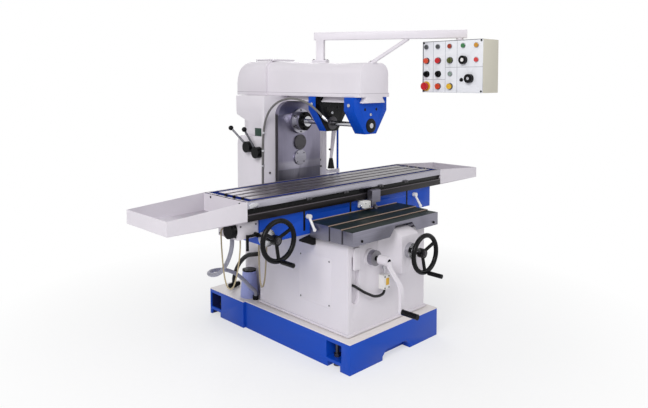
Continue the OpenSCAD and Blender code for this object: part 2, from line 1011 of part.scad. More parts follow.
// Arbor with its driving collar, running forward to the outer support
module arbor() {
  nose = slideway_y - nose_out;
  color("lightgray")
    translate([0, 0, spindle_z]) {
      bar_y(arbor_sleeve_r, [nose - over, nose + arbor_sleeve_l - over]);
      bar_y(arbor_collar_r, [nose - arbor_collar_l, nose]);
      bar_y(arbor_d / 2, [arm_front + outer_from - arbor_end, nose]);
    }
}

module coolant_pump() {
  color("lightsteelblue")
    translate([pump_x, pump_y, base_h]) {
      bar_z(pump_foot_r, [0, pump_foot_h]);
      translate([0, 0, pump_foot_h - over])
        cylinder(r1 = pump_foot_r, r2 = pump_r, h = pump_h + over);
    }
  color("black")
    translate([pump_x, pump_y, base_h + pump_foot_h + pump_h])
      bar_z(pump_cap_r, [0, pump_cap_h]);
}

// Tee on the base for the pump hose, and the drain hose's socket
module hose_tee() {
  drain = drain_hose_points[len(drain_hose_points) - 1];
  color("black") {
    translate([tee_x, tee_y, base_h]) {
      bar_z(tee_r, [0, tee_h]);
      translate([0, 0, tee_h / 2])
        bar_x(tee_r, [-tee_arm, tee_arm]);
    }
    translate([drain[0], drain[1], 0])
      bar_z(drain_socket_r, [base_h, drain[2]]);
  }
}

// Valve at the foot of the coolant hose and the nozzle at its end
module coolant_fittings() {
  foot = coolant_hose_points[0];
  tip = coolant_hose_points[len(coolant_hose_points) - 1];
  way = unit(tip - coolant_hose_points[len(coolant_hose_points) - 2]);
  color("goldenrod") {
    translate([foot[0], foot[1], 0])
      bar_z(valve_r, [foot[2] - valve_h, foot[2]]);
    translate([0, foot[1], foot[2] - valve_h / 2])
      bar_x(valve_r / 2, [foot[0], -column_w / 2]);
    translate(tip)
      rotate([0, acos(way[2]), atan2(way[1], way[0])])
        rotate_extrude()
          polygon([[0, 0], [nozzle_r, 0], [nozzle_r, nozzle_l / 2], [nozzle_tip_r, nozzle_l], [0, nozzle_l]]);
  }
}

// Lamp that swivels on the column's right lug
module work_lamp() {
  low = lug_z - slip - lamp_knuckle_h;
  color("silver") {
    translate([lug_x, lug_y, 0]) {
      bar_z(lamp_pin_r, [low, lug_z + lug_t + lamp_pin_r]);
      bar_z(lamp_knuckle_r, [low, low + lamp_knuckle_h]);
    }
    along_y([lug_y - lamp_arm_t / 2, lug_y + lamp_arm_t / 2])
      polygon([[lug_x - lamp_arm_w / 2, low], [lug_x + lamp_arm_w / 2, low],
        [lug_x + lamp_arm_w / 4 - lamp_lean, low - lamp_arm_l],
        [lug_x - lamp_arm_w / 4 - lamp_lean, low - lamp_arm_l]]);
  }
  color("black")
    translate([lug_x - lamp_lean, lug_y, low - lamp_arm_l - lamp_head_h + over])
      cylinder(r1 = lamp_head_r, r2 = lamp_head_top_r, h = lamp_head_h);
}

// An outline with upright sides and rounded top corners
module round_top(half, low, top) {
  translate([-half, low])
    square([2 * half, top - arm_round - low]);
  translate([-half + arm_round, low])
    square([2 * (half - arm_round), top - low]);
  for (s = [-1, 1])
    translate([s * (half - arm_round), top - arm_round])
      circle(r = arm_round);
}

// Cross-section of the overarm with a lip at its foot
module arm_outline() {
  half = arm_w / 2;
  round_top(half, arm_low, arm_top);
  translate([-half - arm_lip, arm_low])
    square([arm_w + 2 * arm_lip, arm_lip_h]);
}

// Side outline of the overarm's tail with a large radius at the top rear corner
module tail_side() {
  tail_l = arm_l - arm_tail_from;
  tail_h = tail_top - arm_low;
  translate([arm_tail_y, arm_low])
    square([tail_l - arm_rear_round, tail_h]);
  translate([arm_tail_y, arm_low])
    square([tail_l, tail_h - arm_rear_round]);
  translate([arm_tail_y + tail_l - arm_rear_round, tail_top - arm_rear_round])
    circle(r = arm_rear_round);
}

// The overarm's top rises towards the tail, which is wider, and the post stands on a flat pad
module overarm() {
  half = arm_w / 2;
  tail_half = half + arm_tail_out;
  color("ghostwhite")
    difference() {
      union() {
        along_y([arm_front, arm_tail_y + over])
          arm_outline();
        intersection() {
          translate([0, rise_y, arm_top])
            rotate([arm_tilt, 0, 0])
              along_y([-arm_round, arm_l])
                round_top(half, -2 * arm_h, 0);
          slab([-arm_w, arm_w], [rise_y, arm_tail_y + over], [arm_low, tail_top + arm_h]);
        }
        intersection() {
          along_y([arm_tail_y, arm_front + arm_l])
            round_top(tail_half, arm_low, tail_top);
          along_x([-tail_half, tail_half])
            tail_side();
        }
        translate([0, post_y, 0])
          rotate([0, 0, boom_turn])
            slab([-post_flange / 2, post_flange / 2], [-post_flange / 2, post_flange / 2],
              [arm_top - over, post_pad_z]);
        intersection() {
          along_y([arm_front, arm_front + arm_l - arm_rear_round])
            dovetail(0);
          slab([-half, half], [arm_front, arm_front + arm_l], [head_top - dove_h, arm_low + over]);
        }
      }
      slab([-half + arm_wall, half - arm_wall],
        [arm_front + arm_wall, arm_front + arm_l - arm_rear_round],
        [arm_low + arm_lip_h, arm_top - arm_round]);
    }
}

// Stepped cover on the overarm's rear top
module overarm_cover() {
  near = arm_front + arm_cover_from;
  far = near + arm_cover_l;
  foot = arm_top + (near - rise_y) * tan(arm_tilt) + slip;
  bend = arm_top + (arm_tail_y - rise_y) * tan(arm_tilt) + slip;
  top = tail_top + arm_cover_h;
  color("white")
    along_x([-arm_cover_w / 2, arm_cover_w / 2])
      polygon([[near, foot], [arm_tail_y, bend], [arm_tail_y, tail_top], [far, tail_top], [far, top],
        [near + arm_cover_step, top], [near + arm_cover_step, foot + arm_cover_step_h],
        [near, foot + arm_cover_step_h]]);
}

// Arbor support hung on the dovetail, with its bush
module arbor_support(front, thick) {
  half = support_w / 2;
  top = head_top - slip;
  back = front + thick;
  color("royalblue")
    difference() {
      along_y([front, back])
        polygon([[-half, top], [half, top], [half, top - support_side],
          [support_foot_w / 2, support_low], [-support_foot_w / 2, support_low],
          [-half, top - support_side]]);
      along_y([front - over, back + over])
        dovetail(slip);
      translate([0, 0, spindle_z])
        bar_y(support_bore_r, [front - over, back + over]);
    }
  color("black")
    translate([0, 0, spindle_z])
      difference() {
        bar_y(bush_r, [front - bush_out, front + over]);
        bar_y(support_bore_r, [front - bush_out - over, front + 2 * over]);
      }
}

module inner_support() {
  arbor_support(arm_front + inner_from, inner_support_t);
}

module outer_support() {
  arbor_support(arm_front + outer_from, support_t);
}

// Direction of the boom in plan, from the post to the pendant's neck
boom_run = [boom_x, boom_y - post_y];
boom_l = norm(boom_run);
boom_turn = atan2(boom_run[1], boom_run[0]);

// Post, square boom and pendant bearing in one weldment
module boom() {
  side = boom_side / 2;
  color("lavender")
    difference() {
      union() {
        translate([0, post_y, 0])
          rotate([0, 0, boom_turn]) {
            slab([-side, side], [-side, side], [post_pad_z, boom_z + side]);
            slab([-boom_tail, boom_l + boom_nose], [-side, side], [boom_z - side, boom_z + side]);
            slab([-post_flange / 2, post_flange / 2], [-post_flange / 2, post_flange / 2],
              [post_pad_z, post_pad_z + post_flange_t]);
          }
      }
      translate([boom_x, boom_y, 0])
        bar_z(neck_pin_r + run, [boom_z - side - over, boom_z + side + over]);
    }
}

// Stay from the overarm's front to the boom
module boom_brace() {
  reach = boom_run * brace_share;
  foot = [0, brace_y, arm_top + brace_foot_t / 2];
  head = [reach[0], post_y + reach[1], boom_z - boom_side / 2];
  color("lavender") {
    difference() {
      strut(foot, head, brace_r);
      slab([-arm_w, arm_w], [brace_y - arm_w, brace_y + arm_w], [arm_top - arm_round, arm_top]);
      translate([0, post_y, 0])
        rotate([0, 0, boom_turn])
          slab([-boom_tail, boom_l + boom_nose], [-boom_side / 2, boom_side / 2],
            [boom_z - boom_side / 2, boom_z + boom_side]);
    }
    translate([0, brace_y, 0])
      bar_z(brace_foot_r, [arm_top, arm_top + brace_foot_t]);
  }
}

// Place of a control on the panel's face, which looks towards -X
function on_panel(shares) = [pendant_x, boom_y + pendant_w / 2 - shares[0] * pendant_w,
  pendant_top - shares[1] * pendant_h];

push_places = [start_shares, stop_shares, jog_shares];
turn_places = [mode_shares, feed_shares, coolant_shares, drive_shares];

module pendant_box() {
  back = pendant_x + pendant_d;
  low = pendant_top - pendant_h;
  y = [boom_y - pendant_w / 2, boom_y + pendant_w / 2];
  color("white")
    difference() {
      union() {
        slab([pendant_x, back], y, [low, pendant_top]);
        translate([boom_x, boom_y, 0]) {
          bar_z(neck_r, [pendant_top - over, pendant_top + neck_gap - slip]);
          bar_z(neck_pin_r, [pendant_top, pendant_top + neck_gap + neck_pin_l]);
        }
        for (s = concat(push_places, turn_places))
          translate(on_panel(s))
            bar_x(button_r + bezel_w, [-bezel_t, over]);
        translate(on_panel(estop_shares))
          bar_x(stop_ring_r, [-bezel_t, over]);
      }
      slab([pendant_x + pendant_wall, back - pendant_wall],
        [y[0] + pendant_wall, y[1] - pendant_wall], [low + pendant_wall, pendant_top - pendant_wall]);
      for (s = concat(push_places, turn_places, [estop_shares, speed_shares, dial_shares]))
        translate(on_panel(s))
          bar_x(button_stem_r + run, [-bezel_t - over, pendant_wall + over]);
    }
}

// Lenses of the pilot lamps
module pilot_lamps() {
  color("firebrick")
    for (s = lamp_shares)
      translate(on_panel(s)) {
        bar_x(button_r, [-bezel_t, 0]);
        bar_x(button_r - bezel_w, [-lamp_lens_t, 0]);
      }
}

// A push button: a stem through the panel, a round cap and a collar behind the panel
module push_control(shares, r, t, gap, tint) {
  color(tint)
    translate(on_panel(shares)) {
      bar_x(button_stem_r, [-bezel_t - gap - over, button_stem_l]);
      bar_x(r, [-bezel_t - gap - t, -bezel_t - gap]);
    }
}

// A selector: a round base with a finger bar across it
module turn_control(shares, tint) {
  color(tint)
    translate(on_panel(shares)) {
      bar_x(button_stem_r, [-bezel_t - over, button_stem_l]);
      bar_x(button_r, [-bezel_t - selector_t, -bezel_t - slip]);
      slab([-bezel_t - selector_t - selector_bar_h, -bezel_t - selector_t + over],
        [-selector_bar_w / 2, selector_bar_w / 2], [-button_r, button_r]);
    }
}

// A round knob close to the panel, with a pointer rib
module round_control(shares, r, t, tint) {
  color(tint)
    translate(on_panel(shares)) {
      bar_x(button_stem_r, [-slip - over, button_stem_l]);
      bar_x(r, [-slip - t, -slip]);
      slab([-slip - t - selector_bar_h / 2, -slip - t + over],
        [-selector_bar_w / 4, selector_bar_w / 4], [0, r]);
    }
}

module start_button() {
  push_control(start_shares, button_r, button_t, button_gap, "firebrick");
}

module stop_button() {
  push_control(stop_shares, button_r, button_t, button_gap, "red");
}

module jog_button() {
  push_control(jog_shares, button_r, button_t, button_gap, "gold");
}

module emergency_stop() {
  push_control(estop_shares, stop_r, stop_t, button_gap, "red");
}

module mode_selector() {
  turn_control(mode_shares, "darkgreen");
}

module feed_selector() {
  turn_control(feed_shares, "black");
}

module coolant_selector() {
  turn_control(coolant_shares, "black");
}

module drive_selector() {
  turn_control(drive_shares, "indianred");
}

module speed_knob() {
  round_control(speed_shares, knob_r, knob_t, "black");
}

module feed_dial() {
  round_control(dial_shares, dial_r, dial_t, "black");
}

// Plan of the cross-feed housing on the knee's front, hollowed on its left flank
module housing_plan() {
  left = housing_x - housing_w / 2;
  right = housing_x + housing_w / 2;
  nose = knee_front - housing_reach;
  difference() {
    polygon([[left - housing_flank, knee_front + over], [left - housing_flank, knee_front],
      [left, nose], [right, nose], [right + knee_lip, knee_front], [right + knee_lip, knee_front + over]]);
    translate([left - housing_flank + housing_scoop_in, nose - housing_scoop_out])
      circle(r = housing_scoop_r);
  }
}

// Front outline of that housing: roof narrowed to the arch, left flank cut up at its foot
module housing_front() {
  left = housing_x - housing_w / 2;
  right = housing_x + housing_w / 2;
  wall = left - housing_flank;
  polygon([[left, housing_low], [right + knee_lip, housing_low], [right + knee_lip, housing_eave],
    [housing_top_right, housing_top], [housing_top_left, housing_top],
    [wall + housing_left_in, housing_left_eave],
    [wall, housing_flank_eave], [wall, housing_flank_low], [left - housing_flank_bend, housing_flank_mid]]);
}

// Side outline of that housing: upright face and a roof that rises to the rear
module housing_side() {
  nose = knee_front - housing_reach;
  polygon([[nose, housing_low], [nose, housing_eave], [nose + housing_roof, housing_top],
    [knee_front + over, housing_top], [knee_front + over, housing_low]]);
}

module knee() {
  half = knee_w / 2;
  cheek = slideway_w / 2 + slip;
  slot_x = [housing_x - nut_lug_w / 2 - 2 * over, housing_x + nut_lug_w / 2 + 2 * over];
  slot_y = [nut_lug_y - nut_lug_d / 2 - cross_out - 2 * over,
    nut_lug_y + nut_lug_d / 2 + cross_in + 2 * over];
  edge = -half + recess_from_edge;
  color("gainsboro")
    difference() {
      union() {
        slab([-half, half], [knee_front, knee_rear], [knee_low, knee_top]);
        slab([-half - knee_lip, half + knee_lip], [knee_front - knee_lip, knee_rear],
          [knee_low, knee_low + knee_lip_h]);
        both_sides()
          slab([cheek, cheek + knee_cheek_w], [knee_rear - over, frame_y - slip], [knee_low, knee_top]);
        both_sides()
          slab([half - way_inset - way_w, half - way_inset], [knee_front + way_h, knee_rear],
            [knee_top - over, knee_top + way_h]);
        intersection() {
          translate([0, 0, housing_low])
            linear_extrude(housing_top - housing_low)
              housing_plan();
          along_x([-half, half])
            housing_side();
          along_y([knee_front - housing_reach, knee_front + over])
            housing_front();
        }
        translate([crank_x, 0, crank_z])
          bar_y(crank_boss_r, [knee_front - crank_boss_t, knee_front + over]);
      }
      slab([-half + knee_wall, half - knee_wall], [knee_front + knee_wall, knee_rear - knee_wall],
        [knee_low - over, knee_top - knee_wall]);
      slab([edge, edge + recess_w], [knee_front - over, knee_front + recess_deep],
        [recess_low, recess_high]);
      translate([edge + recess_w / 2, 0, recess_low])
        bar_y(recess_w / 2, [knee_front - over, knee_front + recess_deep]);
      slab(slot_x, slot_y, [knee_top - knee_wall - over, knee_top + over]);
      translate([housing_x, 0, cross_z])
        bar_y(cross_r + run, [knee_front - housing_reach - over, knee_front + knee_wall + over]);
      translate([crank_x, 0, crank_z])
        bar_y(crank_shaft_r + run, [knee_front - crank_boss_t - over, knee_front + knee_wall + over]);
      translate([0, lift_y, knee_top - knee_wall])
        bar_z(lift_journal_r + run, [-over, lift_journal_h]);
    }
}

module elevating_screw() {
  seat = knee_top - knee_wall - slip;
  color("silver")
    translate([0, lift_y, 0]) {
      bar_z(lift_r, [lift_low, seat]);
      bar_z(lift_journal_r, [seat - over, seat + lift_journal_h - slip]);
      bar_z(lift_collar_r, [seat - lift_bevel_h - lift_collar_h, seat]);
      translate([0, 0, seat - lift_bevel_h])
        cylinder(r1 = lift_bevel_r, r2 = lift_collar_r, h = lift_bevel_h);
    }
}

module limit_switch() {
  wall = knee_front;
  color("gainsboro")
    slab([limit_x - limit_w / 2, limit_x + limit_w / 2], [wall - limit_d, wall],
      [limit_z - limit_h / 2, limit_z + limit_h / 2]);
  color("silver")
    translate([limit_x, wall - limit_d / 2, limit_z + limit_h / 2]) {
      bar_z(limit_arm_r, [-over, limit_arm_l]);
      translate([0, 0, limit_arm_l])
        bar_y(limit_roller_r, [-limit_roller_t / 2, limit_roller_t / 2]);
    }
}

module cross_screw() {
  nose = knee_front - housing_reach;
  color("silver")
    translate([housing_x, 0, cross_z]) {
      bar_y(cross_r, [nose, cross_screw_end]);
      bar_y(cross_flange_r, [knee_front + knee_wall + slip, knee_front + knee_wall + slip + cross_flange_t]);
    }
}

// Dished handwheel round the Y axis, its hub's back at y = 0 and its grip pointing to the front
module handwheel(grip_turn) {
  rim = wheel_d / 2 - wheel_rim_d / 2;
  mid = -wheel_hub_l / 2;
  face = mid - wheel_dish;
  bar_y(wheel_hub_r, [-wheel_hub_l, 0]);
  for (i = [0 : wheel_spokes - 1])
    rotate([0, -grip_turn - 360 * i / wheel_spokes, 0])
      strut([0, mid, 0], [rim, face, 0], wheel_spoke_r);
  translate([0, face, 0])
    rotate([90, 0, 0]) {
      rotate_extrude()
        translate([rim, 0])
          circle(r = wheel_rim_d / 2, $fn = 32);
      rotate([0, 0, grip_turn])
        translate([rim, 0, 0]) {
          bar_z(grip_r / 2, [0, wheel_rim_d / 2 + grip_neck]);
          bar_z(grip_r, [wheel_rim_d / 2 + grip_neck - over, wheel_rim_d / 2 + grip_l]);
        }
    }
}

// Cross-feed handwheel in front of the housing, with its dial sleeve
module cross_handwheel() {
  nose = knee_front - housing_reach;
  color("black")
    translate([housing_x, nose - wheel_stand + wheel_hub_l, cross_z]) {
      translate([0, -wheel_hub_l, 0])
        handwheel(-90);
      bar_y(wheel_shaft_r, [-wheel_hub_l - over, wheel_stand - wheel_hub_l - wheel_dial_t]);
    }
  color("silver")
    translate([housing_x, nose, cross_z])
      bar_y(wheel_dial_r, [-wheel_dial_t, -slip]);
}

// Side outline of the crank's dished arm: radius across, forward reach upwards
module crank_arm() {
  t = crank_arm_t / 2;
  shares = [[0, 0], [0.13, 0.14], [0.26, 0.45], [0.4, 0.8], [0.51, 0.96], [0.7, 1], [1, 1]];
  mid = [for (s = shares) [s[0] * crank_l, s[1] * crank_dish]];
  polygon(concat([for (p = mid) p + [0, t]], [for (i = [len(mid) - 1 : -1 : 0]) mid[i] - [0, t]]));
}

// Elevating crank hanging down in front of the knee, with its dial
module elevating_crank() {
  face = knee_front - crank_boss_t;
  hub = knee_front - crank_stand;
  color("silver")
    translate([crank_x, 0, crank_z]) {
      bar_y(crank_dial_r, [face - crank_dial_t, face - slip]);
      bar_y(crank_shaft_r, [hub, knee_front + crank_shaft_in]);
    }
  color("whitesmoke")
    translate([crank_x, 0, crank_z]) {
      bar_y(crank_hub_r, [hub - crank_arm_t / 2, hub + crank_hub_l]);
      translate([0, hub, 0])
        rotate([0, 90, 0])
          translate([0, 0, -crank_arm_w / 2])
            mirror([0, 1, 0])
              linear_extrude(crank_arm_w)
                crank_arm();
      rotate([0, 90, 0])
        translate([crank_l, 0, 0])
          bar_y(crank_grip_r, [hub - crank_dish - crank_arm_t / 2, hub - crank_dish + crank_arm_t / 2]);
    }
  color("black")
    translate([crank_x, 0, crank_z])
      rotate([0, 90, 0])
        translate([crank_l, 0, 0])
          bar_y(crank_grip_r, [hub - crank_dish - crank_arm_t / 2 - grip_l,
            hub - crank_dish - crank_arm_t / 2 + over]);
}

// Bottom of the cover and outer half-width of a nested cover box, counted from the knee upwards
cover_base = knee_top + cover_low;
function box_half(level) = cover_w / 2 + level * (cover_t + slip);
function box_top(level) = cover_base + cover_h + level * (cover_t + slip);

// One folded box of the way cover: a top and two sides, open below and at both ends
module cover_box(level, y) {
  half = box_half(level);
  difference() {
    slab([-half, half], y, [cover_base, box_top(level)]);
    slab([-half + cover_t, half - cover_t], [y[0] - over, y[1] + over],
      [cover_base - over, box_top(level) - cover_t]);
  }
}

// Front box of the cover, fixed to the knee, with an arch over the cross-feed housing
module cover_apron() {
  y = [apron_front, apron_front + apron_d];
  color("lightgray") {
    difference() {
      union() {
        cover_box(0, y);
        slab([-box_half(0) + over, box_half(0) - over], [y[0], y[0] + cover_t],
          [cover_base, box_top(0) - over]);
      }
      along_y([y[0] - over, y[0] + cover_t + over])
        polygon([[housing_top_left - arch_foot, cover_base - over], [housing_top_left, arch_top],
          [housing_top_right, arch_top], [housing_top_right + arch_foot, cover_base - over]]);
    }
    both_sides()
      slab([knee_w / 2 - knee_wall, box_half(0) - over], [knee_front + over, y[1]],
        [knee_top, cover_base + over]);
  }
}

module way_cover_front() {
  color("lightslategray")
    cover_box(1, [apron_front + apron_d - cover_lap, apron_front + apron_d - cover_lap + cover_d]);
}

// Rear box of the cover, fixed to the saddle's front
module way_cover_rear() {
  color("lightslategray")
    cover_box(2, [saddle_front - cover_rear_d, saddle_front]);
}

module saddle() {
  half = saddle_l / 2;
  inner = knee_w / 2 - way_inset - way_w - slip;
  color("royalblue")
    difference() {
      union() {
        slab([-half, half], [saddle_front, saddle_rear], [saddle_low, saddle_top]);
        slab([-rail_l / 2, rail_l / 2], [table_mid - rail_w / 2, table_mid + rail_w / 2],
          [saddle_top - over, saddle_top + rail_h]);
        slab([-inner, inner], [saddle_front, saddle_rear], [knee_top + slip, saddle_low + over]);
        slab([housing_x - nut_lug_w / 2, housing_x + nut_lug_w / 2],
          [nut_lug_y - nut_lug_d / 2, nut_lug_y + nut_lug_d / 2], [cross_z - nut_lug_drop, saddle_low]);
      }
      both_sides()
        slab([knee_w / 2 + saddle_step, half + over], [saddle_rear - saddle_step, saddle_rear + over],
          [saddle_low - over, saddle_low + saddle_step_h]);
      translate([housing_x, 0, cross_z])
        bar_y(cross_r + run, [nut_lug_y - nut_lug_d / 2 - over, nut_lug_y + nut_lug_d / 2 + over]);
      slab([-table_screw_l / 2 - over, table_screw_l / 2 + over],
        [table_mid - table_nut_w / 2 - over, table_mid + table_nut_w / 2 + over],
        [table_screw_z - table_screw_r - 2 * over, saddle_top + rail_h + over]);
      translate([0, table_mid, table_screw_z])
        bar_x(table_screw_r + run, [-half - over, half + over]);
      for (x = [clamp_left_x, clamp_right_x])
        translate([x, 0, clamp_z])
          bar_y(clamp_pin_r + run, [saddle_front - over, saddle_front + clamp_pin_l]);
      translate([table_wheel_x, 0, table_wheel_z])
        bar_y(wheel_shaft_r + run, [saddle_front - over, saddle_front + table_wheel_shaft_in]);
    }
}

// Clamp lever with its pin in the saddle, hanging forward
module clamp_lever(x) {
  face = saddle_front - slip;
  color("silver")
    translate([x, 0, clamp_z]) {
      bar_y(clamp_hub_r, [face - clamp_hub_l, face]);
      bar_y(clamp_pin_r, [face - over, face + clamp_pin_l - over]);
      translate([0, face - clamp_hub_l / 2, 0])
        rotate([-clamp_lean, 0, 0]) {
          bar_z(clamp_r, [-clamp_l, 0]);
          translate([0, 0, -clamp_l])
            sphere(r = clamp_ball_r);
        }
    }
}

module clamp_lever_left() {
  clamp_lever(clamp_left_x);
}

module clamp_lever_right() {
  clamp_lever(clamp_right_x);
}

module feed_gearbox() {
  right = -saddle_l / 2;
  left = right - feed_w;
  color("whitesmoke")
    difference() {
      slab([left, right], [feed_front, feed_front + feed_d], [feed_low, feed_top]);
      translate([0, feed_front + feed_knob_back, feed_top - feed_knob_r])
        bar_x(feed_knob_pin + run, [left - over, left + feed_knob_l]);
      translate([right - feed_lever_in, 0, feed_low + feed_lever_low])
        bar_y(feed_lever_r + run, [feed_front - over, feed_front + feed_knob_l]);
      translate([0, table_mid, table_screw_z])
        bar_x(table_screw_r + run, [right - feed_w / 2, right + over]);
    }
}

module feed_knob() {
  left = -saddle_l / 2 - feed_w;
  color("black")
    translate([0, feed_front + feed_knob_back, feed_top - feed_knob_r]) {
      bar_x(feed_knob_r, [left - feed_knob_l, left - slip]);
      bar_x(feed_knob_pin, [left - over, left + feed_knob_l - over]);
    }
}

// Small angled lever under the gearbox's front
module feed_lever() {
  y = feed_front - slip;
  color("black")
    translate([-saddle_l / 2 - feed_lever_in, 0, feed_low + feed_lever_low]) {
      bar_y(feed_lever_r, [y - over, feed_front + feed_knob_l - over]);
      bar_y(feed_lever_hub, [y - 2 * feed_lever_hub, y]);
      translate([0, y - feed_lever_hub, 0]) {
        bar_x(feed_lever_r, [-feed_lever_l, 0]);
        translate([-feed_lever_l, 0, 0])
          bar_z(feed_lever_r, [-feed_lever_drop, feed_lever_r]);
      }
    }
}

module table_handwheel() {
  color("black")
    translate([table_wheel_x, saddle_front - table_wheel_stand, table_wheel_z]) {
      handwheel(-90);
      bar_y(wheel_shaft_r, [-over, table_wheel_stand + table_wheel_shaft_in - over]);
    }
  color("silver")
    translate([table_wheel_x, saddle_front, table_wheel_z])
      bar_y(wheel_dial_r, [-wheel_dial_t, -slip]);
}

// Switch block on the saddle that stands in front of the table's edge
module trip_switch() {
  back = table_front - trip_gap;
  low = saddle_top - trip_foot_h;
  color("lightgray") {
    slab([trip_x - trip_w / 2, trip_x + trip_w / 2], [back - trip_d, back],
      [low + trip_low, low + trip_low + trip_h]);
    slab([trip_x - trip_w / 4, trip_x + trip_w / 4], [back - trip_d / 2, saddle_front],
      [low, low + trip_low + over]);
  }
  color("white")
    translate([trip_x, 0, low])
      bar_y(trip_roller_r, [back - trip_d, back - trip_d / 2 + over]);
}

module table_screw() {
  color("silver")
    translate([0, table_mid, table_screw_z])
      bar_x(table_screw_r, [-saddle_l / 2 - feed_w / 2 + over, saddle_l / 2 - over]);
}

// Outline of one T-slot at its own centre line, cut down from the table's top
module tslot_outline() {
  translate([-tslot_w / 2, table_top - tslot_deep + over])
    square([tslot_w, tslot_deep]);
  translate([-tslot_head_w / 2, table_top - tslot_deep])
    square([tslot_head_w, tslot_head_h]);
}

module table() {
  half = table_l / 2;
  nut = table_nut_w / 2;
  color("lightsteelblue")
    difference() {
      union() {
        slab([-half, half], [table_front, table_rear], [table_low, table_top]);
        slab([-nut, nut], [table_mid - nut + over, table_mid + nut - over],
          [table_screw_z - table_screw_r, table_low + channel_h + over]);
      }
      difference() {
        slab([-half - over, half + over],
          [table_mid - rail_w / 2 - slip, table_mid + rail_w / 2 + slip],
          [table_low - over, table_low + channel_h]);
        slab([-nut, nut], [table_mid - nut + over, table_mid + nut - over],
          [table_low - 2 * over, table_low + channel_h + over]);
      }
      for (i = [-1 : 1])
        translate([0, table_mid + i * tslot_pitch, 0])
          along_x([-half - over, half + over])
            tslot_outline();
      for (y = [table_front + gutter_in, table_rear - gutter_in - gutter_w])
        slab([-half + gutter_in, half - gutter_in], [y, y + gutter_w],
          [table_top - gutter_deep, table_top + over]);
      both_sides()
        slab([half - gutter_in - end_gutter_w, half - gutter_in],
          [table_front + gutter_in, table_rear - gutter_in],
          [table_top - gutter_deep, table_top + over]);
      slab([-half - over, half + over], [table_front - over, table_front + trough_deep],
        [table_top - trough_drop - trough_h, table_top - trough_drop]);
      translate([0, table_mid, table_screw_z])
        bar_x(table_screw_r + run, [-table_nut_w, table_nut_w]);
    }
}

// Sloping sheet-metal pan at the right end of the table
module tray() {
  near = table_l / 2;
  far = near + tray_l;
  top = table_top;
  low = table_low;
  side = [[near, low], [far, low + tray_rise], [far, low + tray_rise + tray_end_h], [near, top]];
  difference() {
    along_y([table_front, table_rear])
      polygon(side);
    along_y([table_front + tray_t, table_rear - tray_t])
      polygon([[near + tray_t, low + tray_t], [far - tray_t, low + tray_rise + tray_t],
        [far - tray_t, top + over], [near + tray_t, top + over]]);
    slab([near - over, near + tray_t + over], [table_front + tray_t, table_rear - tray_t],
      [top - tray_lip, top + over]);
  }
}

module coolant_trays() {
  color("white")
    both_sides()
      tray();
}

module coolant_hose() {
  color("gray")
    hose(coolant_hose_points, coolant_hose_r);
}

module drain_hose() {
  color("slategray")
    hose(drain_hose_points, drain_hose_r);
}

module pump_hose() {
  color("black")
    hose(pump_hose_points, pump_hose_r);
}

module oil_line() {
  color("tan")
    hose(oil_line_points, oil_line_r);
}

module oil_loop() {
  color("tan")
    hose(oil_loop_points, oil_loop_r);
}

module switch_cable() {
  color("black")
    hose(switch_cable_points, switch_cable_r);
}

base();
levelling_screws();
column();
gearbox_cover();
main_motor();
spindle_bearings();
bearing_caps();
coolant_pump();
hose_tee();
coolant_fittings();
motor_pinion();
spindle();
arbor();
speed_lever_high();
speed_lever_low();
work_lamp();
overarm();
overarm_cover();
inner_support();
outer_support();
boom();
boom_brace();
pendant_box();
pilot_lamps();
start_button();
stop_button();
mode_selector();
speed_knob();
feed_selector();
coolant_selector();
feed_dial();
emergency_stop();
drive_selector();
jog_button();
knee();
cover_apron();
way_cover_front();
way_cover_rear();
cross_screw();
cross_handwheel();
elevating_crank();
elevating_screw();
limit_switch();
saddle();
clamp_lever_left();
clamp_lever_right();
feed_gearbox();
table_handwheel();
feed_knob();
feed_lever();
trip_switch();
table_screw();
table();
coolant_trays();
coolant_hose();
drain_hose();
pump_hose();
oil_line();
oil_loop();
switch_cable();
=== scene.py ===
"""Looks of a horizontal milling machine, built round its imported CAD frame.

Sizes are in millimetres where a name ends in _mm or a tuple is wrapped in mm(),
and in metres everywhere else.
"""

import itertools
import logging
import math
from dataclasses import dataclass, field
from enum import Enum
from typing import Dict, List, Optional, Sequence, Tuple, Union

import bmesh
import bpy
import numpy as np
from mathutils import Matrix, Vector


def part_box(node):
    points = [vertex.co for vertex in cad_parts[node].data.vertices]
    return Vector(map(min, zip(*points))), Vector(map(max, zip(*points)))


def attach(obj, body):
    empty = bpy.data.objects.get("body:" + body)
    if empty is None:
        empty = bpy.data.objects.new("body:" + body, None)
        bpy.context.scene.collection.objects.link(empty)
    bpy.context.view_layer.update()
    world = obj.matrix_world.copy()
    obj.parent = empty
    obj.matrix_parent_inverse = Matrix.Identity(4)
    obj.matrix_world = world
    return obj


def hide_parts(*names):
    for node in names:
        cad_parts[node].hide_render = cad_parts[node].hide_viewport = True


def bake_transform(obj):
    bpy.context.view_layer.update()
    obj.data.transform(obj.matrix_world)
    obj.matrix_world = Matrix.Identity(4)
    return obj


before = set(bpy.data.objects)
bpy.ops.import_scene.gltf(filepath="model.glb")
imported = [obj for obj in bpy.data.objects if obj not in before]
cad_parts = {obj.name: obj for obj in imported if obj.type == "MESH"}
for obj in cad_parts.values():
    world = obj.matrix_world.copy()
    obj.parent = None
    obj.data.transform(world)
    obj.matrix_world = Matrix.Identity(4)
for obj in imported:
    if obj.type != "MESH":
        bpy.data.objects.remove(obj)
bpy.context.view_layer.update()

log = logging.getLogger("milling_machine")

MM = 0.001
MERGE_GAP = 1e-6
Pair = Tuple[float, float]
Point = Tuple[float, float, float]
Colour = Tuple[float, float, float]
Profile = Sequence[Pair]
Span = Tuple[Optional[float], Optional[float]]


def mm(*values: float) -> np.ndarray:
    """Turns millimetres into metres as one array."""
    return np.asarray(values, float) * MM


